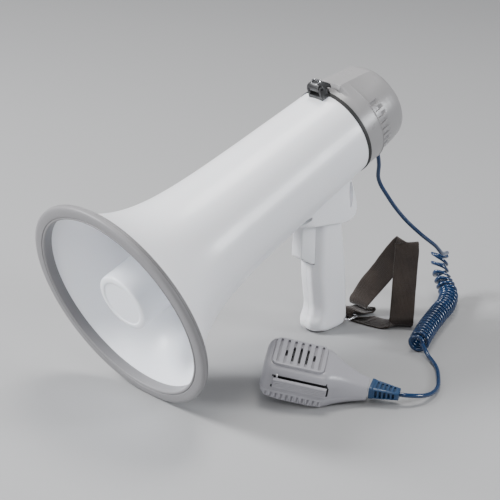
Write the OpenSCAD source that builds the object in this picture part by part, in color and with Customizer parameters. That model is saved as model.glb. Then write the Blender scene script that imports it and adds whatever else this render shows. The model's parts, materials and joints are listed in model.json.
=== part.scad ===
// Handheld megaphone with a hand microphone on a curly cord and a webbing wrist strap.
// Millimetres. +Z is up, the mouth faces -Y, and X = 0 is the plane of symmetry of the horn.
// The megaphone stands at rest, nose down on its rim and on the flat foot of its grip.
// The origin is the middle of that flat foot face.
// Horn parts are drawn in the horn frame: Y runs back along the horn's axis from the mouth plane,
// and Z is square to it. place_horn() moves that frame to its resting tilt.
// Microphone parts are drawn in a frame whose X runs from the head to the cord; place_mic() sets it down.

/* [Horn] */
// Diameter of the mouth over the bumper
mouth_d = 230; // [210:1:250]
// Distance from the mouth plane to the rear gasket
horn_l = 317; // [300:1:330]
// Radius of the body tube produced forward to the mouth
base_r = 61.5; // [60:0.5:63]
// Fall of the body radius for each millimetre towards the rear
taper = 0.0385; // [0.03:0.0005:0.042]
// Extra radius of the flare at the mouth
flare = 51.5; // [48:0.5:54]
// Length over which the flare dies away
flare_l = 47; // [40:1:52]
// Thickness of the plastic shells
wall = 2.4; // [2:0.1:3]
// Width of the grey face of the bumper round the mouth
bumper_face = 14; // [10:0.5:16]

/* [Driver] */
// Outside diameter of the reflector cup
cup_d = 62; // [56:1:66]
// Length of the reflector cup
cup_l = 98; // [80:1:104]
// Diameter of the magnet
magnet_d = 80; // [70:1:86]
// Distance from the mouth plane to the back of the bulkhead
driver_s = 156; // [150:1:160]

/* [Battery] */
// Diameter of a C cell
cell_d = 26.2; // [25.2:0.1:26.2]
// Length of a C cell
cell_l = 50; // [48:0.5:50]

/* [Rear cap] */
// Length of the rear cap
cap_l = 66; // [64:0.2:68]
// Thickness of the gasket between the body and the cap
gasket_t = 3.6; // [2:0.1:4]
// Length of the plain band at the front of the cap
band_l = 21.5; // [18:0.5:26]
// Width of the flat ridge along the top of the cap
ridge_w = 24; // [20:1:30]
// Angle from the bottom of the cap to the cord gland
gland_a = 14; // [10:1:20]

/* [Grip] */
// Distance from the mouth plane to the middle of the foot, along the axis
foot_s = 234; // [225:1:240]
// Distance from the horn's axis down to the foot
foot_h = 203.8; // [195:0.2:210]
// Half of the width of the grip
grip_hw = 16.5; // [16:0.5:18]
// Half of the width of the saddle under the body
saddle_hw = 24; // [20:0.5:26]
// Diameter of the wire of the strap ring
ring_wire = 2.5; // [2:0.1:2.6]

/* [Microphone] */
// Width of the microphone's head
mic_w = 66.8; // [64:0.2:68]
// Thickness of the microphone from the split to its face, at the head
mic_top = 33.2; // [32:0.2:34]
// Height of the joint between the two shells
mic_split = 8.5; // [7:0.5:10]
// Diameter of the cord
cord_d = 4.5; // [4:0.1:5]
// Outside diameter of the curly part of the cord
coil_d = 23; // [20:1:24]

/* [Fits] */
// Gap between parts that stay still
gap = 0.1; // [0.05:0.01:0.2]
// Radial clearance of a pin in its bore
run = 0.05; // [0.02:0.01:0.08]

/* [Hidden] */
$fn = 64;
far = 400;
mouth_r = mouth_d / 2;
rim_s = 2.4;
tilt = atan((foot_h - mouth_r) / (foot_s - rim_s));
axis_z = mouth_r * cos(tilt) - rim_s * sin(tilt);
foot_y = foot_s * cos(tilt) + foot_h * sin(tilt);
cap_s = horn_l + gasket_t;
end_s = cap_s + cap_l;
inner_r = mouth_r - bumper_face;

// Colours
white = "white";
grey = "darkgray";
steel = "silver";
black = [0.08, 0.08, 0.08];
blue = [0.05, 0.22, 0.42];
copper = "peru";

// ---- Frames and shared shapes ----

function horn_point(p) = [p.x, p.y * cos(tilt) - p.z * sin(tilt) - foot_y,
    p.y * sin(tilt) + p.z * cos(tilt) + axis_z];

module place_horn() translate([0, -foot_y, axis_z]) rotate([tilt, 0, 0]) children();

mic_pos = [75.5, -155.6, 16.8];
mic_turn = [9, 8.6, 37.9];
module place_mic() translate(mic_pos) rotate(mic_turn) children();

// Turns a profile of [radius, distance along the axis] about the horn's axis
module lathe(profile) rotate([-90, 0, 0]) rotate_extrude($fn = 120) polygon(profile);

// Ring or disc about the horn's axis
module ring(r_out, r_in, s0, s1) lathe([[r_in, s0], [r_out, s0], [r_out, s1], [r_in, s1]]);

// Plate with a side view in the Y and Z plane, w wide on each side of X = x
module side_plate(w, outline, x = 0)
    translate([x - w, 0, 0]) rotate([90, 0, 90]) linear_extrude(2 * w) polygon(outline);

// Rod along X, centred on X = 0
module cross_rod(r, length, y, z) translate([-length / 2, y, z]) rotate([0, 90, 0]) cylinder(r = r, h = length);

// Round rod from one point to another
module rod(a, b, r) {
    d = b - a;
    l = norm(d);
    translate(a) rotate([0, acos(d.z / l), atan2(d.y, d.x)]) cylinder(r = r, h = l);
}

// Round cord through a list of points
module cord(path, r) for (i = [0 : len(path) - 2]) hull() {
    translate(path[i]) sphere(r = r, $fn = 10);
    translate(path[i + 1]) sphere(r = r, $fn = 10);
}

// Closed sleeve with one groove for each turn of a small coil spring, along Z
module spring(r, wire, length, turns) rotate_extrude(convexity = 4) polygon(concat(
    [for (i = [0 : 2 * turns]) [r + (i % 2 == 0 ? 0 : wire / 2), i * length / (2 * turns)]],
    [[r - wire / 2, length], [r - wire / 2, 0]]));

// Copies at equal angles about the horn's axis
module round_axis(count, start = 0) for (i = [0 : count - 1]) rotate([0, start + i * 360 / count, 0]) children();

function steps(a, b, n) = [for (i = [0 : n]) a + (b - a) * i / n];

// ---- Horn ----

// Outer radius of the body at a distance s from the mouth plane
function body_r(s) = base_r - taper * s + flare * exp(-pow(s / flare_l, 1.12));

lip_s = 6;
saddle_stations = [210, 240, 270, horn_l];
flare_stations = concat(steps(lip_s, 30, 8), steps(36, 90, 9), steps(105, 180, 5), saddle_stations);
back_stations = [for (i = [len(flare_stations) - 1 : -1 : 0]) flare_stations[i]];
ledge_r = 49.5;
saddle_screws_at = [[-14, 258], [14, 258], [-14, 298], [14, 298]];
screw_seat_z = -45.5;
wire_s = 276;

hinge_s = horn_l + gasket_t / 2;
hinge_z = -54;
knuckle_r = 3.4;
hinge_pin_r = 1.5;

module bell_shell() color(white) place_horn() difference() {
    union() {
        lathe(concat([for (s = flare_stations) [body_r(s), s]],
            [for (s = back_stations) [body_r(s) - wall, s]]));
        ring(body_r(driver_s) - wall / 2, ledge_r, driver_s, driver_s + 4);
        intersection() {
            for (p = saddle_screws_at) translate([p.x, p.y, -60]) cylinder(r = 4.5, h = 60 + screw_seat_z);
            ring(body_r(306), 40, 240, horn_l);
        }
        for (x = [-8, 8]) {
            cross_at(x) cross_rod(knuckle_r, 5.6, hinge_s, hinge_z);
            side_plate(2.8, [[315.4, -48], [hinge_s, -48], [hinge_s, hinge_z], [315.4, hinge_z]], x);
        }
    }
    for (p = saddle_screws_at) translate([p.x, p.y, -70]) {
        cylinder(r = 1.8, h = 40);
        translate([0, 0, 70 + screw_seat_z]) cylinder(r = 3.2, h = 8);
    }
    translate([0, wire_s, -60]) cylinder(r = 4, h = 30);
    round_axis(4, 45) translate([51.8, driver_s - 1, 0]) rotate([-90, 0, 0]) cylinder(r = 1.32, h = 6);
    ring(body_r(horn_l) - wall, 0, driver_s + 6, horn_l + 9);
    cross_rod(hinge_pin_r + run, 40, hinge_s, hinge_z);
    difference() {
        ring(57, 0, horn_l, horn_l + 20);
        cross_rod(knuckle_r, 40, hinge_s, hinge_z);
    }
}

module cross_at(x) translate([x, 0, 0]) children();

// Grey bumper that grips the lip of the bell; rim_s is where it rests on the floor
bumper_l = 9.8;

module rim_bumper() color(grey) place_horn() {
    in_lip = steps(10.6, lip_s, 4);
    out_lip = steps(lip_s, bumper_l, 4);
    rounding = [[-4, 0], [-1.8, 0.4], [-0.6, 1.2], [0, rim_s], [0, 4.4], [-0.5, 4.8], [-0.3, 5.2], [-0.5, 6.2],
        [-1.1, 6.6], [-1, 7], [-1.7, 8], [-2.4, 8.4], [-2.5, 8.8], [-4, bumper_l]];
    lathe(concat([[inner_r, 10.6], [inner_r, 1], [inner_r + 1, 0.3], [inner_r + 4, 0]],
        [for (p = rounding) [mouth_r + p.x, p.y]],
        [for (i = [4 : -1 : 0]) [body_r(out_lip[i]) + gap, out_lip[i] - (i == 0 ? gap : 0)]],
        [for (i = [4 : -1 : 0]) [body_r(in_lip[i]) - wall - gap, in_lip[i] - (i == 4 ? gap : 0)]]));
}

cup_s = 6.5;
cup_r = cup_d / 2;
collar_r = 16;
collar_s = cup_s + cup_l - 12;

module reflector_cup() color(white) place_horn() {
    lathe([[0, cup_s + 0.8], [cup_r - 7, cup_s + 0.8], [cup_r - 6, cup_s], [cup_r - 3, cup_s],
        [cup_r - 0.9, cup_s + 0.9], [cup_r, cup_s + 3], [cup_r, cup_s + cup_l],
        [cup_r - 2, cup_s + cup_l], [cup_r - 2, cup_s + 4], [16, cup_s + 3.2], [5, cup_s + 12],
        [0, cup_s + 16]]);
    ring(collar_r + 2.4, collar_r + run, collar_s, collar_s + 8);
    round_axis(3, 30) translate([collar_r + 1.5, collar_s, -1.2]) cube([cup_r - collar_r - 3, 8, 2.4]);
}

throat_r = 8;
tube_s = 34;

module tone_tube() color(white) place_horn()
    lathe([[throat_r, driver_s - 5], [12, driver_s - 5], [12, collar_s + 8.5], [collar_r, collar_s + 8.5],
        [collar_r, collar_s - 0.5], [20, tube_s], [18, tube_s], [11, collar_s]]);

bulkhead_r = body_r(driver_s - 8) - wall - 0.9;

module bulkhead() color(black) place_horn() difference() {
    lathe([[throat_r, driver_s - 5], [12 + gap, driver_s - 5], [12 + gap, driver_s - 12], [18, driver_s - 12],
        [24, driver_s - 8], [bulkhead_r, driver_s - 8], [body_r(driver_s) - wall - 0.4, driver_s],
        [30, driver_s], [30, driver_s - 3.6], [17, driver_s - 4]]);
    round_axis(4, 45) translate([51.8, driver_s - 9, 0]) rotate([-90, 0, 0]) cylinder(r = 1.7, h = 12);
    round_axis(4) translate([44, driver_s - 7, 0]) rotate([-90, 0, 0]) cylinder(r = 2.02, h = 12);
}

module bulkhead_screws() color(steel) place_horn()
    round_axis(4, 45) translate([51.8, driver_s - 10.2, 0]) rotate([-90, 0, 0]) {
        cylinder(r = 2.3, h = 2.2);
        cylinder(r = 1.3, h = 15);
    }

module diaphragm() color(copper) place_horn()
    lathe([[0, driver_s - 3.4], [8, driver_s - 2.9], [15, driver_s - 1.4], [18.5, driver_s - 0.6],
        [29.5, driver_s - 0.6], [29.5, driver_s - 0.1], [18, driver_s - 0.1], [14.5, driver_s - 0.9],
        [7.8, driver_s - 2.4], [0, driver_s - 2.9]]);

module voice_coil() color(copper) place_horn() ring(19.4, 18.4, driver_s - 0.1, driver_s + 8);

module top_plate() color(steel) place_horn() difference() {
    ring(48, 20.2, driver_s, driver_s + 6);
    round_axis(4) translate([44, driver_s - 1, 0]) rotate([-90, 0, 0]) cylinder(r = 2.2, h = 9);
}

module driver_magnet() color([0.2, 0.2, 0.22]) place_horn()
    ring(magnet_d / 2, 24, driver_s + 6, driver_s + 21);

module driver_yoke() color(steel) place_horn()
    lathe([[0, driver_s + 1], [17.6, driver_s + 1], [17.6, driver_s + 21], [magnet_d / 2, driver_s + 21],
        [magnet_d / 2 - 2, driver_s + 27], [0, driver_s + 27]]);

module driver_screws() color(steel) place_horn()
    round_axis(4) translate([44, driver_s - 6, 0]) rotate([-90, 0, 0]) {
        cylinder(r = 2, h = 12);
        translate([0, 0, 12]) cylinder(r = 3.4, h = 3);
    }

// ---- Batteries ----

cell_ring_r = cell_d + 0.4;
holder_s = 249;
holder_r = 46.3;
cells_s = holder_s + 3 + 1.5;

// Two flat-bottomed discs joined by a post, with six cells between them
module battery_holder() color(black) place_horn() difference() {
    union() {
        ring(holder_r, 0, holder_s, holder_s + 3);
        ring(holder_r, 0, cells_s + cell_l + 1.5, cells_s + cell_l + 4.5);
        ring(11, 0, holder_s + 1, cells_s + cell_l + 3);
    }
    translate([-far / 2, 200, -far - 42.8]) cube([far, far, far]);
}

module battery_cells() color(steel) place_horn() round_axis(6, 30) translate([cell_ring_r, 0, 0]) {
    ring(cell_d / 2, 0, cells_s + 0.1, cells_s + cell_l - 1.8);
    ring(5, 0, cells_s + cell_l - 1.8, cells_s + cell_l - 0.1);
}

module battery_contacts() color(steel) place_horn() round_axis(6, 30) translate([cell_ring_r, 0, 0]) {
    lathe([[0, cells_s - 1.45], [9, cells_s - 1.45], [9, cells_s - 1.05], [4, cells_s], [0, cells_s]]);
    ring(8, 0, cells_s + cell_l, cells_s + cell_l + 1.45);
}

// ---- Rear closure ----

module rear_gasket() color(black) place_horn()
    ring(body_r(horn_l) + 0.4, body_r(horn_l) - wall - 2, horn_l, cap_s - 0.05);

latch_s = 309.5;
latch_z = 61;
latch_hw = 9.4;
latch_pin_r = 1.5;

module latch_base() color(black) place_horn() difference() {
    union() {
        side_plate(latch_hw, [[306, 45], [316.5, 45], [316.5, 52.5], [315, 53.3], [306, 53.3]]);
        for (x = [-8.2, 8.2])
            side_plate(1.2, [[306, 50], [306, 60], [307.5, 63.5], [311, 64.2], [315, 59], [316.5, 50]], x);
    }
    lathe([[0, 290], [body_r(290) + gap, 290], [body_r(horn_l) + gap, horn_l + 1], [0, horn_l + 1]]);
    cross_rod(latch_pin_r + run, 40, latch_s, latch_z);
}

module latch_pin() color(steel) place_horn() cross_rod(latch_pin_r, 2 * latch_hw, latch_s, latch_z);

// Over-centre lever: its nose hooks behind the lip of the cap
module latch_lever() color(black) place_horn() difference() {
    union() {
        side_plate(6.8, [[306.4, 58.4], [306.2, 63], [308.4, 65.6], [313.5, 67.4], [315.5, 66.8], [322, 61],
            [324.6, 58], [324.6, 53.45], [323.5, 53.45], [323.5, 55.9], [318, 56.6], [312, 58]]);
        cross_rod(3.2, 13.6, latch_s, latch_z);
    }
    cross_rod(latch_pin_r + run, 40, latch_s, latch_z);
}

module cap_hinge_pin() color(steel) place_horn() cross_rod(hinge_pin_r, 22, hinge_s, hinge_z);

// Outer profile of the cap as [radius, distance behind the gasket]
cap_profile = [[49.2, 0], [48.9, 11], [48.6, band_l], [47.6, band_l], [47.3, 26], [46.6, 33], [45.9, 40],
    [45.2, 47], [44.3, 53], [42.8, 58], [40.2, 62], [36, 64.8], [28, cap_l]];
gland_s = cap_s + 39;
gland_r = 46.2;
pot_hole_r = 3.6;
flute_count = 10;

module cap_flutes() for (side = [-1, 1]) for (i = [0 : flute_count - 1]) {
    a = side * (52 + i * 8.6);
    rotate([0, a, 0]) translate([-1, cap_s + band_l + 0.4, 46.4]) rotate([-7, 0, 0]) cube([2, 12, 4]);
}

module rear_cap() color(grey) place_horn() difference() {
    union() {
        lathe(concat([for (p = cap_profile) [p.x, cap_s + p.y]], [[0, end_s]],
            [[0, end_s - wall], [24, end_s - wall]],
            [for (i = [len(cap_profile) - 2 : -1 : 0]) [cap_profile[i].x - wall, cap_s + min(cap_profile[i].y, cap_l - wall)]]));
        intersection() {
            rotate([-90, 0, 0]) translate([0, 0, cap_s]) linear_extrude(cap_l)
                polygon([[-ridge_w / 2, -54], [-ridge_w / 2 - 4, -34], [ridge_w / 2 + 4, -34], [ridge_w / 2, -54]]);
            side_plate(30, [[326, 44], [326, 47], [332, 53], [352, 49.2], [370, 45.2], [376, 43.9], [382, 40.5],
                [386, 34], [386, 31], [372, 38], [340, 44]]);
        }
        side_plate(7, [[320.8, 46.5], [320.8, 53.4], [321.1, 53.9], [321.8, 53.9], [321.8, 46.5]]);
        cross_rod(knuckle_r, 9.6, hinge_s, hinge_z);
        side_plate(4.8, [[hinge_s, hinge_z], [hinge_s, hinge_z + 2.4], [320.2, -50.3],
            [321.5, -48], [328, -47.5], [323, hinge_z]]);
    }
    cap_flutes();
    cross_rod(hinge_pin_r + run, 40, hinge_s, hinge_z);
    translate([0, gland_s, 0]) rotate([0, 180 - gland_a, 0]) cylinder(r = 4, h = 60);
    rotate([-90, 0, 0]) cylinder(r = pot_hole_r, h = far);
}

module cap_rivets() color(steel) place_horn() for (x = [-16, 16])
    translate([x, cap_s + 45, -12]) rotate([-90, 0, 0]) {
        cylinder(r = 1.3, h = 12);
        translate([0, 0, -2]) cylinder(r = 2.6, h = 2);
    }

module amplifier_board() color("darkgreen") place_horn() difference() {
    ring(34, 0, cap_s + 47.2, cap_s + 48.8);
    translate([0, cap_s + 46, 0]) rotate([-90, 0, 0]) cylinder(r = 5.2, h = 4);
    for (x = [-16, 16]) translate([x, cap_s + 46, -12]) rotate([-90, 0, 0]) cylinder(r = 1.5, h = 6);
}

module heat_sink() color(steel) place_horn() {
    translate([-14, cap_s + 43, 14]) cube([28, 4.2, 10]);
    for (x = steps(-13, 12, 5)) translate([x, cap_s + 36, 14]) cube([1.4, 8, 10]);
}

// Volume control: body on the board, shaft through the back of the cap
module volume_pot() color(steel) place_horn() {
    ring(8, 0, cap_s + 49, end_s - wall - 0.1);
    ring(3.5, 0, end_s - wall - 1, end_s + 1);
    ring(3, 0, end_s, end_s + 6);
    ring(5, 0, cap_s + 44, cap_s + 49.2);
}

module volume_knob() color(black) place_horn() difference() {
    union() {
        ring(10, 0, end_s + 1.4, end_s + 8);
        round_axis(16) translate([-0.8, end_s + 2, 9]) cube([1.6, 5.6, 1.8]);
    }
    ring(3 + run, 0, end_s - 1, end_s + 6.2);
}

// ---- Cord from the cap to the floor ----

gland_tip = horn_point([sin(gland_a) * (gland_r + 5), gland_s, -cos(gland_a) * (gland_r + 5)]);
cord_root = horn_point([sin(gland_a) * 30, gland_s, -cos(gland_a) * 30]);
coil_r = coil_d / 2;
coil_top = [28, 163, 42];
coil_end = [116, 24, coil_r];
cord_path = [gland_tip, gland_tip + [0.5, 3.5, -14], [13, 65.5, 160], [20.3, 75.8, 136], [31, 90.5, 112],
    [40, 108.5, 91], [42, 130, 72], [38.5, 146, 58], coil_top + [3.6, -10.9, 8.8]];
coil_path = [coil_top, [42, 155, 27], [58, 140, coil_r + 1], [72, 115, coil_r], [95, 65, coil_r], coil_end];

module cord_gland() color(black) place_horn() translate([0, gland_s, 0]) rotate([0, 180 - gland_a, 0])
    difference() {
        union() {
            translate([0, 0, gland_r - 5]) cylinder(r = 3.9, h = 6);
            translate([0, 0, gland_r + 0.6]) cylinder(r1 = 5.2, r2 = 3.6, h = 4.2);
        }
        translate([0, 0, gland_r - 6]) cylinder(r = cord_d / 2 + gap, h = 20);
    }

module cord_upper() color(blue) cord(concat([cord_root], cord_path), cord_d / 2);

// Sleeve with the outside size of the curly cord, open at both ends
module coil_cord() color(blue) difference() {
    cord(coil_path, coil_r);
    cord(concat([coil_top + [-14, 8, 16]], coil_path, [coil_end + [12, -24, 0]]), coil_r - 4);
}

// ---- Grip ----

// Sections of the handle as [height, front, rear, half width]
handle = [[0, -14, 16, 12], [5.5, -25.5, 26.5, grip_hw], [13, -27, 27.5, grip_hw], [27, -22, 26, grip_hw],
    [66, -27.5, 23, grip_hw], [136, -28.5, 11.5, grip_hw]];
front_hw = 7;

module handle_section(h) translate([0, 0, h[0]]) linear_extrude(0.02)
    polygon([[-front_hw, h[1]], [front_hw, h[1]], [h[3], h[1] + 9], [h[3], h[2] - 7], [9, h[2]], [-9, h[2]],
        [-h[3], h[2] - 7], [-h[3], h[1] + 9]]);

heel_y = 20;
heel_z = 7.5;
trigger_y = -18.5;
trigger_z = 124;
trigger_pin_r = 1.5;
grip_screws_at = [[-3, 108], [2, 62], [3, 20]];

// Everything that the two halves of the grip share
module grip_body() difference() {
    union() {
        for (i = [0 : len(handle) - 2]) hull() {
            handle_section(handle[i]);
            handle_section(handle[i + 1]);
        }
        place_horn() difference() {
            intersection() {
                translate([0, 0, -100]) linear_extrude(60) polygon([[-14, 219], [14, 219], [saddle_hw, 236],
                    [saddle_hw, 290], [19.5, 308], [14.5, 315], [-14.5, 315], [-19.5, 308], [-saddle_hw, 290],
                    [-saddle_hw, 236]]);
                side_plate(saddle_hw, [[221, -44], [221, -55.6], [230.5, -58.4], [283, -87.4], [290, -90],
                    [301, -91.5], [307, -89], [311.5, -82], [313.7, -72], [315, -58], [315, -44]]);
            }
            lathe(concat([[0, 210]], [for (t = saddle_stations) [body_r(t) + gap, t]], [[0, horn_l]]));
            translate([-far / 2, 0, -48.5]) cube([far, far, far]);
            side_plate(12, [[306.5, -40], [306.5, -58], [320, -60], [320, -40]]);
        }
    }
    difference() {
        side_plate(12, [[-13, 14], [20, 14], [19, 27], [16, 66], [6, 118], [-19, 118], [-18, 66], [-12, 27]]);
        for (p = grip_screws_at) cross_rod(4.5, 60, p.x, p.y);
    }
    side_plate(9.9, [[-46, 92.2], [-29, 82], [-24, 81.3], [-14, 81], [-14, 128.8], [-46, 133.4]]);
    cross_rod(trigger_pin_r + run, 26.4, trigger_y, trigger_z);
    cross_rod(ring_wire / 2 + run, 60, heel_y, heel_z);
    place_horn() {
        for (p = saddle_screws_at) translate([p.x, p.y, -62.5]) cylinder(r = 1.32, h = 30);
        translate([0, wire_s, -97]) cylinder(r = 4, h = 60);
    }
    translate([-grip_hw - 5, 0, 0]) for (p = grip_screws_at) translate([0, p.x, p.y]) rotate([0, 90, 0]) {
        cylinder(r = 3.1, h = 9);
        cylinder(r = 1.7, h = grip_hw + 5);
        cylinder(r = 1.32, h = grip_hw + 14);
    }
}

module grip_left() color(white) intersection() {
    grip_body();
    translate([-far - 0.01, -far, -1]) cube([far, 2 * far, far]);
}

module grip_right() color(white) intersection() {
    grip_body();
    translate([0.01, -far, -1]) cube([far, 2 * far, far]);
}

module grip_screws() color(steel) for (p = grip_screws_at) translate([-12.55, p.x, p.y]) rotate([0, 90, 0]) {
    cylinder(r = 1.3, h = 21);
    translate([0, 0, -2]) cylinder(r = 2.8, h = 2);
}

module saddle_screws() color(steel) place_horn() for (p = saddle_screws_at) translate([p.x, p.y, -62]) {
    cylinder(r = 1.3, h = 62 + screw_seat_z);
    translate([0, 0, 62 + screw_seat_z]) cylinder(r = 3, h = 2);
}

// ---- Trigger ----

module trigger() color(white) difference() {
    intersection() {
        side_plate(10, [[-44, 93], [-29, 83], [-21, 82], [-21, 117], [-14.8, 118], [-14.8, 128.4], [-43.2, 132.4]]);
        linear_extrude(140) polygon([[-7, -45], [7, -45], [9.5, -28], [9.5, -14], [-9.5, -14], [-9.5, -28]]);
    }
    cross_rod(trigger_pin_r + run, 60, trigger_y, trigger_z);
}

module trigger_pin() color(steel) cross_rod(trigger_pin_r, 26, trigger_y, trigger_z);

module trigger_switch() color(black) {
    translate([-6, -13, 82.5]) cube([12, 12, 19]);
    translate([0, -18.2, 97]) rotate([-90, 0, 0]) cylinder(r = 1.5, h = 6);
}

module trigger_spring() color(steel) translate([0, -20.9, 88]) rotate([-90, 0, 0]) spring(3, 0.7, 7.8, 4);

// ---- Wrist strap ----

ring_hw = 19.5;
ring_y = 36;
strap_hw = 13;
strap_t = 1.5;
// Middle of the webbing and the direction of its width, from the ring round the loop and back
strap_path = [[[0, ring_y + 2.9, 12], [1, 0, 0]], [[2, 57, 14], [1, 0, 0]], [[9, 68, 32], [0.92, 0.25, -0.3]],
    [[37, 90, 87.5], [0.75, 0.6, -0.25]], [[64, 56, 4], [0.75, 0.66, 0]], [[44, 52, 1.2], [0.45, 0.89, 0]],
    [[4, ring_y + 3.5, 2.6], [1, 0, 0]]];

module strap_ring() color(steel) {
    cross_rod(ring_wire / 2, 2 * ring_hw, heel_y, heel_z);
    for (x = [-ring_hw, ring_hw]) {
        rod([x, heel_y, heel_z], [x, ring_y, heel_z], ring_wire / 2);
        for (y = [heel_y, ring_y]) translate([x, y, heel_z]) sphere(d = ring_wire, $fn = 32);
    }
    cross_rod(ring_wire / 2, 2 * ring_hw, ring_y, heel_z);
}

module webbing_edge(p) rod(p[0] - strap_hw * p[1] / norm(p[1]), p[0] + strap_hw * p[1] / norm(p[1]), strap_t / 2, $fn = 16);

module wrist_strap() color(black)
    for (i = [0 : len(strap_path) - 2]) hull() {
        webbing_edge(strap_path[i]);
        webbing_edge(strap_path[i + 1]);
    }

// ---- Microphone ----

mic_hw = mic_w / 2;
mic_head = -8;
mic_neck = 98;
neck_z = 12.2;

module mic_ball(x, y, z, r) translate([x, y, z]) sphere(r = r, $fn = 24);

// Outer form: a rounded head that narrows to the neck, which has a flat end
module mic_form() difference() {
    union() {
        hull() for (side = [-1, 1]) {
            mic_ball(mic_head + 8, side * (mic_hw - 12), mic_top - 8, 8);
            mic_ball(mic_head + 6, side * (mic_hw - 8), 6, 6);
            mic_ball(52, side * (mic_hw - 12), mic_top - 8.5, 8);
            mic_ball(56, side * (mic_hw - 6.5), 9, 6);
            mic_ball(16, side * (mic_hw - 5), 0.6, 5);
            mic_ball(46, side * (mic_hw - 5), 0.6, 5);
        }
        hull() for (side = [-1, 1]) {
            mic_ball(50, side * (mic_hw - 13), mic_top - 9, 8);
            mic_ball(48, side * (mic_hw - 10), 4.3, 6);
            mic_ball(mic_neck - 1, side * 11.5, 18.1, 2.4);
            mic_ball(mic_neck - 1, side * 11.5, 6.3, 2.4);
        }
    }
    translate([mic_neck, -far / 2, -far / 2]) cube(far);
}

mic_screws_at = [[1, -21], [1, 21], [57, -18], [57, 18]];
ptt_x = 8;
ptt_y = -30.5;
ptt_pin_r = 1;
grille_x = 26;

module mic_hollow() difference() {
    translate([-2, -26.5, 0.5]) cube([53, 53, 29.5]);
    for (p = mic_screws_at) translate([p.x, p.y, -20]) cylinder(r = 3.6, h = 80);
}

module mic_front_shell() color(grey) place_mic() difference() {
    union() {
        mic_form();
        translate([grille_x, 0, mic_top - 4]) linear_extrude(5.2) hull() for (x = [-20, 20]) for (y = [-17, 17])
            translate([x, y]) circle(r = 7, $fn = 32);
    }
    translate([-50, -50, mic_split - 60]) cube([200, 100, 60]);
    mic_hollow();
    for (i = [-3 : 3]) {
        half_slot = abs(i) == 3 ? 0 : abs(i) == 2 ? 4 : 11;
        translate([grille_x + 7 * i - 1.4, -22, mic_top + 0.4]) cube([2.8, 44, 4]);
        if (half_slot > 0) translate([grille_x + 7 * i - 1.4, -half_slot, 20]) cube([2.8, 2 * half_slot, 20]);
    }
    translate([4, -40, 11.7]) cube([55.1, 14, 11.9]);
    translate([ptt_x, ptt_y, 0]) cylinder(r = ptt_pin_r + run, h = 26.2);
    translate([mic_neck - 6, 0, neck_z]) rotate([0, 90, 0]) cylinder(r = plug_r + gap, h = 20);
    translate([40, 0, neck_z]) rotate([0, 90, 0]) cylinder(r = cord_d / 2 + gap, h = 60);
    for (p = mic_screws_at) translate([p.x, p.y, 0]) cylinder(r = 1.22, h = 20.5);
}

module mic_back_shell() color(grey) place_mic() difference() {
    mic_form();
    translate([-50, -50, mic_split - 0.02]) cube([200, 100, 60]);
    mic_hollow();
    for (i = [0 : 10]) translate([4 + 5.2 * i, -mic_hw - 0.6, -8]) cylinder(r = 2, h = 14.6);
    translate([ptt_x, ptt_y, 7]) cylinder(r = ptt_pin_r + run, h = 10);
    for (p = mic_screws_at) translate([p.x, p.y, -12]) {
        cylinder(r = 1.5, h = 40);
        cylinder(r = 2.7, h = 14.5);
    }
    translate([mic_neck - 6, 0, neck_z]) rotate([0, 90, 0]) cylinder(r = plug_r + gap, h = 20);
    translate([25, 3, -12]) cylinder(r = 2.52, h = 20);
}

module mic_hang_button() color(steel) place_mic() translate([25, 3, 0]) {
    translate([0, 0, -12.2]) cylinder(r = 7.5, h = 2.4);
    translate([0, 0, -10]) cylinder(r = 2.5, h = 10.6);
}

module mic_grille() color(black) place_mic() translate([grille_x, 0, 29.2]) difference() {
    cylinder(r = 17, h = 0.6);
    for (a = [0 : 60 : 300]) rotate(a) translate([9, 0, -1]) cylinder(r = 2, h = 3);
}

module mic_gasket() color(black) place_mic() translate([grille_x, 0, 24]) difference() {
    cylinder(r = 16, h = 5.1);
    translate([0, 0, -1]) cylinder(r = 13.6, h = 8);
}

module mic_capsule() color(steel) place_mic() translate([grille_x, 0, 18]) cylinder(r = 13.5, h = 9);

module mic_board() color("darkgreen") place_mic() translate([6, -20, 10]) cube([42, 40, 1.4]);

module mic_screws() color(steel) place_mic() for (p = mic_screws_at) translate([p.x, p.y, 2.4]) {
    cylinder(r = 1.2, h = 17);
    translate([0, 0, -1.8]) cylinder(r = 2.4, h = 1.8);
}

// ---- Push-to-talk bar ----

module ptt_bar() color(grey) place_mic() difference() {
    translate([4.7, -mic_hw - 1.1, 12.4]) cube([53.7, 5.4, 10.5]);
    translate([ptt_x, ptt_y, 0]) cylinder(r = ptt_pin_r + run, h = 40);
}

module ptt_pin() color(steel) place_mic() translate([ptt_x, ptt_y, 7.2]) cylinder(r = ptt_pin_r, h = 18.8);

module ptt_switch() color(black) place_mic() {
    translate([38, -19.5, 11.5]) cube([10, 9, 10]);
    translate([40, -22, 17]) rotate([-90, 0, 0]) cylinder(r = 1.2, h = 3);
}

module ptt_spring() color(steel) place_mic() translate([45, -28.9, 17]) rotate([-90, 0, 0]) spring(2, 0.6, 9.2, 4);

// ---- Cord into the microphone ----

boot_l = 32;
plug_r = 5.6;
boot_turn = [0, -6, -8];

module boot_end(x, w, h) translate([x, 0, 0]) rotate([0, 90, 0]) linear_extrude(0.02) square([h, w], center = true);

module cord_boot() color(blue) place_mic() translate([mic_neck, 0, neck_z]) difference() {
    union() {
        translate([-5.8, 0, 0]) rotate([0, 90, 0]) cylinder(r = plug_r, h = 10);
        rotate(boot_turn) hull() {
            boot_end(2.4, 20, 12.5);
            boot_end(boot_l, 12, 8.5);
        }
    }
    rotate(boot_turn) for (i = [0 : 4]) for (side = [-1, 1])
        translate([9 + 4.2 * i, side * 9.5 - 4, -8]) cube([2.2, 8, 16]);
    rotate(boot_turn) translate([boot_l - 8, 0, 0]) rotate([0, 90, 0]) cylinder(r = cord_d / 2 + gap, h = 20);
}

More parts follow.
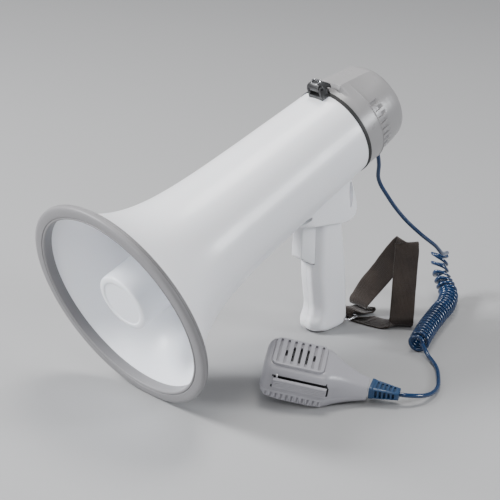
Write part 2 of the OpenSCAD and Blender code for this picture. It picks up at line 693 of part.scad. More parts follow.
lead_path = [[179, -82.9, 12.2], [186, -79, 11.6], [191.6, -74, 10.6], [196.3, -61, 8], [193, -46, 5],
    [184.5, -29, 2.5], [172, -10, 2.3], [148, 11, 2.5], coil_end + [13, -5.4, -3]];

module cord_lead() color(blue) cord(lead_path, cord_d / 2);

bell_shell();
rim_bumper();
reflector_cup();
tone_tube();
bulkhead();
bulkhead_screws();
diaphragm();
voice_coil();
top_plate();
driver_magnet();
driver_yoke();
driver_screws();
battery_holder();
battery_cells();
battery_contacts();
rear_gasket();
latch_base();
latch_pin();
latch_lever();
rear_cap();
cap_hinge_pin();
cap_rivets();
amplifier_board();
heat_sink();
volume_pot();
volume_knob();
cord_gland();
cord_upper();
coil_cord();
grip_left();
grip_right();
grip_screws();
saddle_screws();
trigger();
trigger_pin();
trigger_switch();
trigger_spring();
strap_ring();
wrist_strap();
mic_front_shell();
mic_back_shell();
mic_grille();
mic_capsule();
mic_gasket();
mic_board();
mic_screws();
mic_hang_button();
ptt_bar();
ptt_pin();
ptt_switch();
ptt_spring();
cord_boot();
cord_lead();
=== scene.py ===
"""Looks of the handheld megaphone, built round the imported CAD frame.

Shapes are drawn in millimetres in the CAD's own frames: HORN has Y back along the horn's axis from the
mouth plane and Z square to it; MIC has X from the microphone's head to its cord; ROW is the row frame.
"""

import json
import math

import bmesh
import bpy
from mathutils import Matrix, Vector, noise


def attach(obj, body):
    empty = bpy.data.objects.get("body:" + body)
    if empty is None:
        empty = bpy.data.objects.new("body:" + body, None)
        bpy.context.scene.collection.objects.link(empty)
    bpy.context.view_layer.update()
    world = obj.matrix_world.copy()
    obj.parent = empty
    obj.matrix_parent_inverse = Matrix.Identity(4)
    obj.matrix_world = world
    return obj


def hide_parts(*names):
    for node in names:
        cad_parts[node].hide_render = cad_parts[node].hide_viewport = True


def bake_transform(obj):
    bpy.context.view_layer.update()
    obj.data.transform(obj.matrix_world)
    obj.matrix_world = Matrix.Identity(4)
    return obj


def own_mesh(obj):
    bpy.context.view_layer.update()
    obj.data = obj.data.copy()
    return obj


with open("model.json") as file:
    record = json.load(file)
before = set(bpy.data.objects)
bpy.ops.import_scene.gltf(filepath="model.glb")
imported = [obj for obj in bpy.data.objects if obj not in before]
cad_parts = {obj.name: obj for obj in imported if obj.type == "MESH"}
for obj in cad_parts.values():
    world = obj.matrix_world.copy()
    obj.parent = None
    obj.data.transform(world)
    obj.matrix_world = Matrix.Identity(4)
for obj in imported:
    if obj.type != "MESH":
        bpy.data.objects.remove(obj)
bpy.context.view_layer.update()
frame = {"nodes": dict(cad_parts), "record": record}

MM = 0.001
TAU = 2 * math.pi

# ---- Frames, as in the CAD ----

FOOT_S, FOOT_H, MOUTH_R, RIM_S = 234, 203.8, 115, 2.4
TILT = math.atan((FOOT_H - MOUTH_R) / (FOOT_S - RIM_S))
AXIS_Z = MOUTH_R * math.cos(TILT) - RIM_S * math.sin(TILT)
FOOT_Y = FOOT_S * math.cos(TILT) + FOOT_H * math.sin(TILT)
ROW = Matrix.Identity(4)
HORN = Matrix.Translation((0, -FOOT_Y, AXIS_Z)) @ Matrix.Rotation(TILT, 4, "X")
MIC = (
    Matrix.Translation((75.5, -155.6, 16.8))
    @ Matrix.Rotation(math.radians(37.9), 4, "Z")
    @ Matrix.Rotation(math.radians(8.6), 4, "Y")
    @ Matrix.Rotation(math.radians(9), 4, "X")
)
BOOT = (
    MIC
    @ Matrix.Translation((98, 0, 12.2))
    @ Matrix.Rotation(math.radians(-8), 4, "Z")
    @ Matrix.Rotation(math.radians(-6), 4, "Y")
)
BELL_S = 317
CAP_S = BELL_S + 3.6
CAP_L = 66
END_S = CAP_S + CAP_L
HINGE_S = BELL_S + 1.8
HINGE_Z = -54
WALL = 2.4
CORD_S = CAP_S + 39
CORD_ANGLE = 14


def body_r(s):
    return 61.5 - 0.0385 * s + 51.5 * math.exp(-((s / 47) ** 1.12))


def steps(a, b, n):
    return [a + (b - a) * i / n for i in range(n + 1)]


# ---- Materials ----


class Nodes:
    """A material's node tree with short calls."""

    def __init__(self, name):
        self.material = bpy.data.materials.new(name)
        self.material.use_nodes = True
        self.tree = self.material.node_tree
        self.shader = self.tree.nodes["Principled BSDF"]

    def add(self, kind, **inputs):
        node = self.tree.nodes.new("ShaderNode" + kind)
        for key, value in inputs.items():
            self.put(node, key.replace("_", " "), value)
        return node

    def put(self, node, key, value):
        if isinstance(value, bpy.types.NodeSocket):
            self.tree.links.new(value, node.inputs[key])
        else:
            node.inputs[key].default_value = value

    def mix(self, factor, a, b):
        node = self.tree.nodes.new("ShaderNodeMix")
        node.data_type = "RGBA"
        for index, value in ((0, factor), (6, a), (7, b)):
            if isinstance(value, bpy.types.NodeSocket):
                self.tree.links.new(value, node.inputs[index])
            else:
                node.inputs[index].default_value = value
        return node.outputs[2]

    def remap(self, value, low, high, to_low, to_high):
        node = self.add("MapRange")
        self.put(node, "Value", value)
        for key, number in (("From Min", low), ("From Max", high), ("To Min", to_low), ("To Max", to_high)):
            node.inputs[key].default_value = number
        return node.outputs[0]

    def math(self, operation, a, b=0.0):
        node = self.tree.nodes.new("ShaderNodeMath")
        node.operation = operation
        for index, value in ((0, a), (1, b)):
            if isinstance(value, bpy.types.NodeSocket):
                self.tree.links.new(value, node.inputs[index])
            else:
                node.inputs[index].default_value = value
        return node.outputs[0]

    def coordinates(self):
        return self.add("TexCoord").outputs["Object"]

    def noise(self, scale, detail=3.0, stretch=None):
        vector = self.coordinates()
        if stretch:
            mapping = self.add("Mapping")
            self.put(mapping, "Vector", vector)
            mapping.inputs["Scale"].default_value = stretch
            vector = mapping.outputs[0]
        node = self.add("TexNoise", Scale=scale, Detail=detail)
        self.put(node, "Vector", vector)
        return node.outputs["Fac"]

    def bump(self, height, strength, distance, normal=None):
        node = self.add("Bump", Strength=strength, Distance=distance)
        self.put(node, "Height", height)
        if normal:
            self.put(node, "Normal", normal)
        return node.outputs[0]


def shade(color, k):
    return tuple(min(1, c * k) for c in color[:3]) + (1,)


def plastic(name, color, rough, coat=0.0, grain=700, grain_depth=0.00004, edge_highlight=0.08, soft=0.0):
    """Moulded plastic: slight colour drift, fine grain, and a painted highlight that lightens the convex edges.
    """
    n = Nodes(name)
    drift = n.noise(9, 2)
    base = n.mix(drift, shade(color, 0.965), shade(color, 1.03))
    # Painted highlight: convex edges, found by pointiness, are mixed towards a lighter colour.
    edge = n.remap(n.add("NewGeometry").outputs["Pointiness"], 0.52, 0.62, 0, edge_highlight)
    n.put(n.shader, "Base Color", n.mix(edge, base, shade(color, 1.35)))
    smudge = n.remap(n.noise(26, 5), 0.35, 0.7, rough * 0.88, rough * 1.16)
    n.put(n.shader, "Roughness", smudge)
    n.put(n.shader, "Coat Weight", coat)
    n.put(n.shader, "Coat Roughness", 0.08)
    if soft:
        n.put(n.shader, "Subsurface Weight", soft)
        n.put(n.shader, "Subsurface Scale", 0.003)
    fine = n.bump(n.noise(grain, 2), 0.35, grain_depth)
    n.put(n.shader, "Normal", n.bump(n.noise(14, 1), 0.12, 0.0004, fine))
    return n.material


def metal(name, color, rough, stretch=(1, 1, 1)):
    n = Nodes(name)
    scratches = n.noise(420, 4, stretch)
    n.put(n.shader, "Base Color", n.mix(n.noise(40, 3), shade(color, 0.9), shade(color, 1.05)))
    n.put(n.shader, "Metallic", 1.0)
    n.put(n.shader, "Roughness", n.remap(scratches, 0.3, 0.7, rough * 0.7, rough * 1.4))
    n.put(n.shader, "Normal", n.bump(scratches, 0.15, 0.00005))
    return n.material


def rubber(name, color, rough=0.62):
    n = Nodes(name)
    dust = n.noise(60, 6)
    n.put(n.shader, "Base Color", n.mix(n.remap(dust, 0.45, 0.8, 0, 0.5), color, shade(color, 2.2)))
    n.put(n.shader, "Roughness", n.remap(dust, 0.3, 0.7, rough * 0.85, rough * 1.2))
    n.put(n.shader, "Normal", n.bump(n.noise(1500, 2), 0.3, 0.00005))
    return n.material


def vinyl(name, color, rough=0.24):
    """Glossy cord jacket, a little lighter at random where it has been rubbed and stretched, with a painted
    sheen that lightens it towards grazing angles.
    """
    n = Nodes(name)
    drift = n.noise(70, 4)
    painted_sheen = n.add("LayerWeight", Blend=0.3).outputs["Facing"]
    base = n.mix(n.remap(drift, 0.35, 0.75, 0, 0.6), color, shade(color, 1.5))
    # Painted sheen: the colour is lightened where the surface turns away from the view, towards the cord's
    # edges.
    n.put(n.shader, "Base Color", n.mix(n.remap(painted_sheen, 0.3, 1, 0, 0.25), base, shade(color, 2.2)))
    n.put(n.shader, "Roughness", n.remap(drift, 0.3, 0.7, rough * 0.8, rough * 1.3))
    n.put(n.shader, "Coat Weight", 0.4)
    n.put(n.shader, "Coat Roughness", 0.1)
    n.put(n.shader, "Normal", n.bump(n.noise(600, 2), 0.25, 0.00004))
    return n.material


def woven(name, dark, light):
    """Nylon webbing on UVs in metres: U runs along the strap and V across it."""
    n = Nodes(name)
    uv = n.add("SeparateXYZ")
    n.put(uv, "Vector", n.add("TexCoord").outputs["UV"])
    along, across = uv.outputs[0], uv.outputs[1]
    rib = n.math("ABSOLUTE", n.math("SINE", n.math("MULTIPLY", across, math.pi / 0.00145)))
    lean = n.math("ADD", along, n.math("MULTIPLY", n.math("PINGPONG", across, 0.00145), 1.1))
    pick = n.math("ABSOLUTE", n.math("SINE", n.math("MULTIPLY", lean, math.pi / 0.0011)))
    weave = n.math("MULTIPLY", n.math("POWER", rib, 0.6), n.math("POWER", pick, 0.7))
    fibre = n.noise(900, 4, (1, 1, 1))
    tone = n.mix(weave, dark, light)
    patch = n.remap(n.noise(38, 4), 0.35, 0.7, 0, 0.55)
    n.put(n.shader, "Base Color", n.mix(patch, tone, shade(light, 1.45)))
    n.put(n.shader, "Roughness", n.remap(fibre, 0.3, 0.7, 0.62, 0.9))
    n.put(n.shader, "Sheen Weight", 0.35)
    n.put(n.shader, "Sheen Roughness", 0.4)
    n.put(n.shader, "Specular IOR Level", 0.3)
    thread = n.bump(fibre, 0.35, 0.00008)
    n.put(n.shader, "Normal", n.bump(weave, 0.9, 0.00035, thread))
    return n.material


def board(name):
    n = Nodes(name)
    tracks = n.add("TexBrick", Scale=260)
    n.put(tracks, "Vector", n.coordinates())
    tracks.inputs["Mortar Size"].default_value = 0.03
    n.put(n.shader, "Base Color", n.mix(tracks.outputs["Fac"], (0.01, 0.09, 0.04, 1), (0.03, 0.2, 0.09, 1)))
    n.put(n.shader, "Roughness", 0.35)
    n.put(n.shader, "Normal", n.bump(tracks.outputs["Fac"], 0.4, 0.00005))
    return n.material


WHITE = plastic("white_plastic", (0.88, 0.885, 0.91), 0.33, coat=0.12, soft=0.03)
# A bluer copy of the white plastic: a painted cool tint for the light inside the mouth and on the reflector
# cup.
PAINTED_COOL_WHITE = plastic("white_plastic_painted_cool", (0.87, 0.89, 0.93), 0.36, coat=0.1, soft=0.04)
GREY = plastic("grey_plastic", (0.30, 0.293, 0.295), 0.3, grain=1100, grain_depth=0.00007, edge_highlight=0.2)
MIC_GREY = plastic("grey_plastic_mic", (0.34, 0.335, 0.36), 0.33, grain=1100, grain_depth=0.00007, edge_highlight=0.25)
RIM_GREY = plastic("grey_plastic_rim", (0.215, 0.21, 0.215), 0.46, grain=900, grain_depth=0.00008, edge_highlight=0.15)
BLACK = plastic("black_plastic", (0.018, 0.018, 0.019), 0.34, edge_highlight=0.3)
RUBBER = rubber("black_rubber", (0.012, 0.012, 0.012, 1))
BLUE = vinyl("blue_cord", (0.0015, 0.024, 0.08, 1), 0.2)
BOOT_BLUE = vinyl("blue_boot", (0.004, 0.036, 0.1, 1), 0.42)
STEEL = metal("steel", (0.78, 0.78, 0.8), 0.2)
FERRITE = rubber("ferrite", (0.05, 0.05, 0.055, 1), 0.5)
COPPER = metal("copper", (0.75, 0.4, 0.2), 0.35)
CELL = plastic("cell_jacket", (0.06, 0.07, 0.2), 0.25, coat=0.5)
BOARD = board("circuit_board")
ALUMINIUM = metal("aluminium", (0.8, 0.8, 0.82), 0.3, (1, 1, 12))
WEBBING = woven("webbing", (0.008, 0.0055, 0.0045, 1), (0.046, 0.033, 0.026, 1))
THREAD = rubber("strap_thread", (0.03, 0.02, 0.017, 1), 0.7)
BY_SLOT = {
    "white_plastic": WHITE,
    "grey_plastic": GREY,
    "black_plastic": BLACK,
    "black_rubber": RUBBER,
    "blue_cord": BLUE,
    "steel": STEEL,
    "ferrite": FERRITE,
    "copper": COPPER,
    "cell_jacket": CELL,
    "circuit_board": BOARD,
    "aluminium": ALUMINIUM,
    "webbing": WEBBING,
}


def dress_cad_nodes():
    for part in frame["record"]["subparts"]:
        node = frame["nodes"][part["node"]]
        node.data.materials.clear()
        node.data.materials.append(BY_SLOT[part["material_slot"]])


# ---- Outlines and solids: each solid is (points, faces) in millimetres ----


def rounded(points, radius, count=4, closed=True):
    """A polyline with its corners rounded; radius is one number or one for each point."""
    out = []
    total = len(points)
    for i, point in enumerate(points):
        r = radius[i] if isinstance(radius, (list, tuple)) else radius
        p = Vector(point)
        if r == 0 or (not closed and i in (0, total - 1)):
            out.append(tuple(p))
            continue
        before, after = Vector(points[i - 1]) - p, Vector(points[(i + 1) % total]) - p
        a = p + before.normalized() * min(r, before.length * 0.49)
        b = p + after.normalized() * min(r, after.length * 0.49)
        for t in steps(0, 1, count):
            out.append(tuple(a * (1 - t) ** 2 + p * 2 * t * (1 - t) + b * t * t))
    return out


def merge(*solids):
    points, faces = [], []
    for more_points, more_faces in solids:
        base = len(points)
        points += more_points
        faces += [tuple(i + base for i in face) for face in more_faces]
    return points, faces


def loft(rings, caps=True, loop=False):
    """Skin over rings of equal point counts."""
    size, count = len(rings[0]), len(rings)
    points = [p for ring in rings for p in ring]
    faces = []
    for i in range(count if loop else count - 1):
        a, b = i * size, (i + 1) % count * size
        faces += [(a + j, a + (j + 1) % size, b + (j + 1) % size, b + j) for j in range(size)]
    if caps and not loop:
        faces += [tuple(range(size)), tuple(range((count - 1) * size, count * size))]
    return points, faces


def revolve(profile, count=160):
    """A closed profile of (radius, distance along Y) turned about Y."""
    rings = [
        [(r * math.sin(a), s, r * math.cos(a)) for r, s in profile]
        for a in (TAU * i / count for i in range(count))
    ]
    return loft(rings, loop=True)


def disc(radius, start, end, count=48, edge=0.0):
    profile = [(0, start), (radius, start), (radius, end), (0, end)]
    return revolve(rounded(profile, [0, edge, edge, 0], 3), count)


def prism(outline, start, end, axis="X"):
    """An outline extruded along an axis; the outline gives the other two coordinates in order."""
    place = {
        "X": lambda p, t: (t, p[0], p[1]),
        "Y": lambda p, t: (p[0], t, p[1]),
        "Z": lambda p, t: (p[0], p[1], t),
    }[axis]
    return loft([[place(p, t) for p in outline] for t in (start, end)])


def moved(solid, matrix):
    return [tuple(matrix @ Vector(p)) for p in solid[0]], solid[1]


def shift(x, y, z):
    return Matrix.Translation((x, y, z))


def turn(degrees, axis):
    return Matrix.Rotation(math.radians(degrees), 4, axis)


def rectangle(w, h, r, count=5):
    """Outline of a rounded rectangle centred on the origin."""
    return rounded([(-w / 2, -h / 2), (w / 2, -h / 2), (w / 2, h / 2), (-w / 2, h / 2)], r, count)


def spline(points, per_span, closed=False):
    """Smooth curve through the points, slowed by their spacing; extra coordinates are carried along."""
    count = len(points)
    spans = count if closed else count - 1
    pick = (lambda i: points[i % count]) if closed else (lambda i: points[min(max(i, 0), count - 1)])
    out = []
    for i in range(spans):
        p = [pick(i + k) for k in (-1, 0, 1, 2)]
        gap = [max(1e-6, math.dist(p[k][:3], p[k + 1][:3])) for k in range(3)]
        for j in range(per_span):
            t = j / per_span
            value = []
            for c in zip(*p):
                before = (c[1] - c[0]) / gap[0] if gap[0] > 1e-5 else (c[2] - c[1]) / gap[1]
                after = (c[3] - c[2]) / gap[2] if gap[2] > 1e-5 else (c[2] - c[1]) / gap[1]
                here = (c[2] - c[1]) / gap[1]
                m0 = (before * gap[1] + here * gap[0]) / (gap[0] + gap[1]) * gap[1]
                m1 = (here * gap[2] + after * gap[1]) / (gap[1] + gap[2]) * gap[1]
                value.append(
                    (2 * t**3 - 3 * t**2 + 1) * c[1]
                    + (t**3 - 2 * t**2 + t) * m0
                    + (3 * t**2 - 2 * t**3) * c[2]
                    + (t**3 - t**2) * m1
                )
            out.append(tuple(value))
    if not closed:
        out.append(tuple(points[-1]))
    return out


def tube(path, radius, count=12, closed=False):
    """Round tube along a path, with a frame carried along it so that it doesn't twist."""
    path = [Vector(p[:3]) for p in path]
    total = len(path)
    side, rings = None, []
    for i, p in enumerate(path):
        if closed:
            ahead = (path[(i + 1) % total] - path[i - 1]).normalized()
        else:
            ahead = (path[min(i + 1, total - 1)] - path[max(i - 1, 0)]).normalized()
        if side is None:
            side = ahead.orthogonal().normalized()
        side = (side - ahead * side.dot(ahead)).normalized()
        up = ahead.cross(side)
        rings.append([
            tuple(p + (side * math.cos(a) + up * math.sin(a)) * radius)
            for a in (TAU * j / count for j in range(count))
        ])
    return loft(rings, loop=closed)


def coil(center, radius, turns, wire, per_turn=24, count=10, first=None, hand=1):
    """Round wire wound round a centre line given as a function of 0 to 1."""
    points = []
    side = first
    total = int(turns * per_turn)
    for i in range(total + 1):
        t = i / total
        p = Vector(center(t))
        ahead = (Vector(center(min(1, t + 1e-3))) - Vector(center(max(0, t - 1e-3)))).normalized()
        if side is None:
            side = ahead.orthogonal().normalized()
        side = (side - ahead * side.dot(ahead)).normalized()
        up = ahead.cross(side)
        a = hand * TAU * i / per_turn
        points.append(tuple(p + (side * math.cos(a) + up * math.sin(a)) * radius(t)))
    return tube(points, wire, count)


# ---- Objects ----


def make(name, solid, where):
    points, faces = solid
    mesh = bpy.data.meshes.new(name)
    mesh.from_pydata([(where @ Vector(p)) * MM for p in points], [], faces)
    obj = bpy.data.objects.new(name, mesh)
    bpy.context.scene.collection.objects.link(obj)
    clean(obj)
    return obj


def clean(obj):
    bm = bmesh.new()
    bm.from_mesh(obj.data)
    bmesh.ops.remove_doubles(bm, verts=bm.verts, dist=2e-6)
    bmesh.ops.dissolve_degenerate(bm, edges=bm.edges, dist=1e-7)
    bmesh.ops.recalc_face_normals(bm, faces=bm.faces)
    bm.to_mesh(obj.data)
    bm.free()


def bake(obj):
    """Puts the modifiers' result into the mesh."""
    bpy.context.view_layer.update()
    evaluated = obj.evaluated_get(bpy.context.evaluated_depsgraph_get())
    mesh = bpy.data.meshes.new_from_object(evaluated)
    old = obj.data
    obj.modifiers.clear()
    obj.data = mesh
    bpy.data.meshes.remove(old)


def modify(obj, kind, **settings):
    modifier = obj.modifiers.new(kind, kind)
    for key, value in settings.items():
        setattr(modifier, key, value)
    bake(obj)
    return obj


def bevel(obj, width, segments=2, angle=30):
    return modify(obj, "BEVEL", width=width * MM, segments=segments, limit_method="ANGLE",
                  angle_limit=math.radians(angle))


def carve(obj, solid, where, operation="DIFFERENCE", overlapping=True):
    tool = make("tool", solid, where)
    modify(obj, "BOOLEAN", operation=operation, object=tool, solver="EXACT", use_self=overlapping)
    bpy.data.objects.remove(tool)
    return obj


def part(obj, body, material, slot, *nodes, sharp=32):
    """Finishes a piece: shading, material, body, and the CAD nodes it stands for; slot is not used."""
    mesh = obj.data
    mesh.materials.clear()
    mesh.materials.append(material)
    bm = bmesh.new()
    bm.from_mesh(mesh)
    for face in bm.faces:
        face.smooth = True
        face.material_index = 0
    for edge in bm.edges:
        edge.smooth = len(edge.link_faces) == 2 and edge.calc_face_angle(0) < math.radians(sharp)
    bm.to_mesh(mesh)
    bm.free()
    if nodes:
        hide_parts(*nodes)
    if body:
        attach(obj, body)
    return obj


# ---- Horn ----


def build_bell():
    front = steps(6, 30, 16) + steps(33, 108, 25) + steps(120, BELL_S, 22)
    outer = [(body_r(s), s) for s in front]
    inner = [(body_r(s) - WALL, s) for s in reversed(front) if s > 160 or s < 155]
    ledge = [i for i, p in enumerate(inner) if p[1] < 155][0]
    inner[ledge:ledge] = [(body_r(160) - WALL, 160), (49.5, 160), (49.5, 156), (body_r(156) - WALL, 156)]
    shell = revolve(outer + inner, 240)
    knuckles = []
    for x in (-8, 8):
        knuckles.append(moved(disc(3.4, -2.8, 2.8, 32, 0.4), shift(x, HINGE_S, HINGE_Z) @ turn(90, "Z")))
        web = [(306, -49), (316.9, -49), (319, -51.5), (318.8, -54), (315, -56.5), (308, -51)]
        knuckles.append(prism(web, x - 2.6, x + 2.6))
    bell = make("bell", merge(shell, *knuckles), HORN)
    part(bell, "horn", WHITE, "white_plastic", "bell_shell")
    # Faces inside the mouth take the bluer copy of the white plastic: a painted cool tint.
    bell.data.materials.append(PAINTED_COOL_WHITE)
    axis = (HORN.to_3x3() @ Vector((0, 1, 0))).normalized()
    root = (HORN @ Vector((0, 0, 0))) * MM
    for face in bell.data.polygons:
        along = (face.center - root).dot(axis)
        outward = face.center - root - axis * along
        if along < 0.16 and face.normal.dot(outward) < 0:
            face.material_index = 1


def build_bumper():
    lip = [(body_r(s) + 0.1, s) for s in steps(9.8, 5.9, 5)]
    inner = [(body_r(s) - 2.5, s) for s in steps(5.9, 10.6, 5)]
    land = rounded([(101.1, 10.6), (101, 1.0), (102.2, 0.1), (103.3, 0.1), (103.6, 0.9), (104.2, 0.9),
                    (104.5, -0.0), (112, 0.0), (114.4, 0.9), (115, 2.4), (115, 4.4)],
                   [0, 0.6, 0.4, 0.3, 0.2, 0.2, 0.4, 2, 1, 1.2, 0.3], 3, closed=False)
    grooves = rounded([(114.3, 4.7), (114.3, 5.3), (114.7, 5.6), (114.5, 6.3), (113.7, 6.6), (113.6, 7.1),
                       (113.9, 7.4), (113.4, 8.1), (112.5, 8.4), (112.3, 8.9), (111.8, 9.5)], 0.25, 2,
                       closed=False)
    bumper = make("rim_bumper_ring", revolve(land + grooves + lip + inner, 280), HORN)
    part(bumper, "horn", RIM_GREY, "grey_plastic", "rim_bumper", sharp=24)


def build_cup():
    front = [(0, 7.3), (23.2, 7.3), (23.9, 7.1), (24.6, 6.5), (27.6, 6.5), (30.3, 7.3), (31, 10), (31, 104.5),
             (29, 104.5), (29, 10.5), (16, 9.7), (5, 18.5), (0, 22.5)]
    shell = revolve(rounded(front, [0, 0.4, 0.3, 0.8, 1.4, 1.6, 1.8, 0.5, 0.5, 1, 2, 3, 0], 5), 160)
    collar = revolve([(16.05, 92.5), (18.4, 92.5), (18.4, 100.5), (16.05, 100.5)], 96)
    ribs = [moved(prism([(17.5, 92.5), (30, 92.5), (30, 100.5), (17.5, 100.5)], -1.2, 1.2, "Z"), turn(a, "Y"))
            for a in (30, 150, 270)]
    cup = make("reflector_cup_shell", merge(shell, collar, *ribs), HORN)
    # The reflector cup takes the bluer copy too: a painted cool tint.
    part(cup, "horn", PAINTED_COOL_WHITE, "white_plastic", "reflector_cup", sharp=28)


# ---- Rear cap ----

RIDGE_HW = 12.6
FLUTES = [53 + 8.9 * i for i in range(9)]
FLUTE_HALF = 2.7
CAP_OUTLINE = [(0, 49.2), (11, 48.9), (20.3, 48.6), (20.8, 49.15), (21.5, 49.15), (21.9, 47.2), (26, 47),
               (33, 46.4),
               (40, 45.9), (47, 45.2), (53, 44.3), (56, 43.6), (58.5, 42.6), (60.5, 41.3), (62.5, 39.3), (64.2,
                                                                                                          36.6),
               (65.4, 33), (66, 28), (66, 11)]


def interpolate(table, t):
    for (a, u), (b, v) in zip(table, table[1:]):
        if t <= b:
            return u + (v - u) * max(0, (t - a) / (b - a))
    return table[-1][1]


def smoothstep(a, b, t):
    t = min(1, max(0, (t - a) / (b - a)))
    return t * t * (3 - 2 * t)


def cap_radius(s):
    return interpolate(CAP_OUTLINE, s - CAP_S)


def ridge_height(s):
    return interpolate([(324.5, 44), (325.6, 45.5), (331.4, 52.9), (332.2, 53.2), (333.2, 53.1), (352, 49.3),
                        (370, 45.4), (376, 43.9), (380, 42), (383, 39.2), (386, 33), (386.6, 24)], s)


def cap_point(s, a, edge, tangent, height):
    """Radius of the cap at an angle in radians from the top, with the flat ridge and the flutes."""
    r = cap_radius(s)
    if height > r + 0.05:
        if abs(a) <= edge:
            raised = height / math.cos(a)
        elif abs(a) < tangent:
            raised = r / math.cos(tangent - abs(a))
            raised = r + (raised - r) * smoothstep(325, 334, s)
        else:
            raised = r
        r = max(r, raised)
    degrees = abs(math.degrees(a))
    lead = s - CAP_S - 21.6
    length = 14.5
    nearest = min(abs(degrees - f) for f in FLUTES)
    if 0.2 < lead < length and nearest < FLUTE_HALF:
        depth = 1.7 * min(1, (lead - 0.2) / 0.5) * min(1, (length - lead) / 6)
        r -= depth * min(1, (FLUTE_HALF - nearest) / 0.7)
    return r


def cap_grid(offset=0.0):
    """Rings of the outer surface; each ring's columns follow the edges of the ridge and the flutes."""
    stations = [CAP_S + t for t in (
        [0, 0.4, 1.2, 2.5] + steps(3.6, 13.2, 24) + steps(14, 20, 6)
        + [20.4, 20.9, 21.3, 21.5, 21.7, 21.9, 22.1, 22.4]
        + steps(23, 35, 24) + steps(36, 56, 20) + steps(57, 65, 16) + [65.4, 65.8, 66])]
    rings = []
    for s in stations:
        r, height = cap_radius(s), ridge_height(s)
        edge = math.atan(RIDGE_HW / max(height, 30))
        reach = math.hypot(RIDGE_HW, height)
        tangent = min(edge + math.acos(min(1, r / reach)), math.radians(48)) if reach > r else edge + 0.01
        half = steps(0, edge, 8) + steps(edge, max(tangent, edge + 0.01), 7)[1:]
        half += steps(half[-1], math.radians(49.5), 3)[1:]
        for f in FLUTES:
            for d in (-FLUTE_HALF - 0.4, -FLUTE_HALF, -FLUTE_HALF + 0.7, 0, FLUTE_HALF - 0.7, FLUTE_HALF,
                      FLUTE_HALF + 0.4, 4.45):
                half.append(math.radians(f + d))
        half += [math.radians(d) for d in steps(136, 180, 14)]
        angles = half + [-a for a in reversed(half[1:-1])]
        rounding = 0.5 * (1 - min(1, (s - CAP_S) / 0.5))
        ring = []
        for a in angles:
            radius = cap_point(s, a, edge, tangent, height) - rounding - offset
            ring.append((radius * math.sin(a), s, radius * math.cos(a)))
        rings.append(ring)
    return rings


def build_cap():
    outer = cap_grid()
    size = [math.hypot(p[0], p[2]) for p in outer[-1]]
    mouth = [[(p[0] / q * r, END_S, p[2] / q * r) for p, q in zip(outer[-1], size)] for r in (14.2, 13.6)]
    dish = [[(p[0] / q * r, END_S - d, p[2] / q * r) for p, q in zip(outer[-1], size)]
            for r, d in ((13.2, 0.6), (12.8, 0.9), (3.6, 0.9), (3.6, 2.4))]
    angles = [math.atan2(p[0], p[2]) for p in outer[0]]
    inner = []
    for t, r in ((END_S - 2.4, 3.6), (END_S - 2.4, 24), (CAP_S + 62.4, 33), (CAP_S + 59.5, 36.5), (CAP_S + 54,
                                                                                                   39.3),
                 (CAP_S + 40, 42.3), (CAP_S + 22, 45.2), (CAP_S + 12, 46.2), (CAP_S + 0.3, 46.6), (CAP_S,
                                                                                                   46.9)):
        inner.append([(r * math.sin(a), t, r * math.cos(a)) for a in angles])
    shell = loft(outer + mouth + dish + inner, loop=True)
    lip = prism(rounded([(320.8, 46), (320.8, 53.4), (321.1, 53.9), (321.8, 53.9), (321.8, 46)], 0.2, 2), -7, 7)
    barrel = moved(disc(3.4, -4.8, 4.8, 32, 0.4), shift(0, HINGE_S, HINGE_Z) @ turn(90, "Z"))
    strap = prism(rounded([(318.2, -54), (319, -51.4), (321.2, -47), (329, -47.2), (323, -54.5), (318.8,
                                                                                                  -57.2)],
                          0.6, 3), -4.6, 4.6)
    ticks = []
    for i in range(11):
        ticks.append(moved(prism(rectangle(0.7, 2.6, 0.3, 2), END_S - 0.2, END_S + 0.25, "Y"),
                           turn(-150 + 30 * i, "Y") @ shift(0, 0, 17.5)))
    cap = make("rear_cap_shell", merge(shell, lip, barrel, strap, *ticks), HORN)
    part(cap, "cap", GREY, "grey_plastic", "rear_cap", sharp=26)


def build_gasket():
    a, b = BELL_S - 0.4, CAP_S + 0.4
    outline = rounded([(49.2, a), (49.9, a), (50.05, a + 0.8), (50.05, b - 0.8), (49.9, b), (49.1, b),
                       (49.1, b - 0.5),
                       (44.9, b - 0.5), (44.9, a + 0.45), (49.2, a + 0.45)], [0, 0.3, 0.4, 0.4, 0.3, 0, 0, 0,
                                                                              0, 0], 2)
    part(make("rear_gasket_ring", revolve(outline, 200), HORN), "horn", RUBBER, "black_rubber", "rear_gasket")


def build_knob():
    skirt = revolve(rounded([(3.1, END_S + 1.4), (10.8, END_S + 1.4), (10.8, END_S + 2.4), (9.6, END_S + 3),
                             (9.2, END_S + 8), (7.8, END_S + 8), (7.4, END_S + 7.5), (0, END_S + 7.5),
                             (0, END_S + 6.4), (3.1, END_S + 6.4)], [0, .3, .3, .3, .6, .3, .3, 0, 0, 0], 3),
                             96)
    ribs = [moved(prism(rectangle(0.9, 1.4, 0.35, 2), END_S + 2.2, END_S + 7.6, "Y"),
                  turn(a, "Y") @ shift(0, 0, 9.5))
            for a in range(0, 360, 12)]
    pointer = prism([(-0.4, 2), (0.4, 2), (0.4, 7), (-0.4, 7)], END_S + 7.4, END_S + 7.8, "Y")
    knob = make("volume_knob_cap", merge(skirt, *ribs, pointer), HORN)
    part(knob, "knob", BLACK, "black_plastic", "volume_knob")


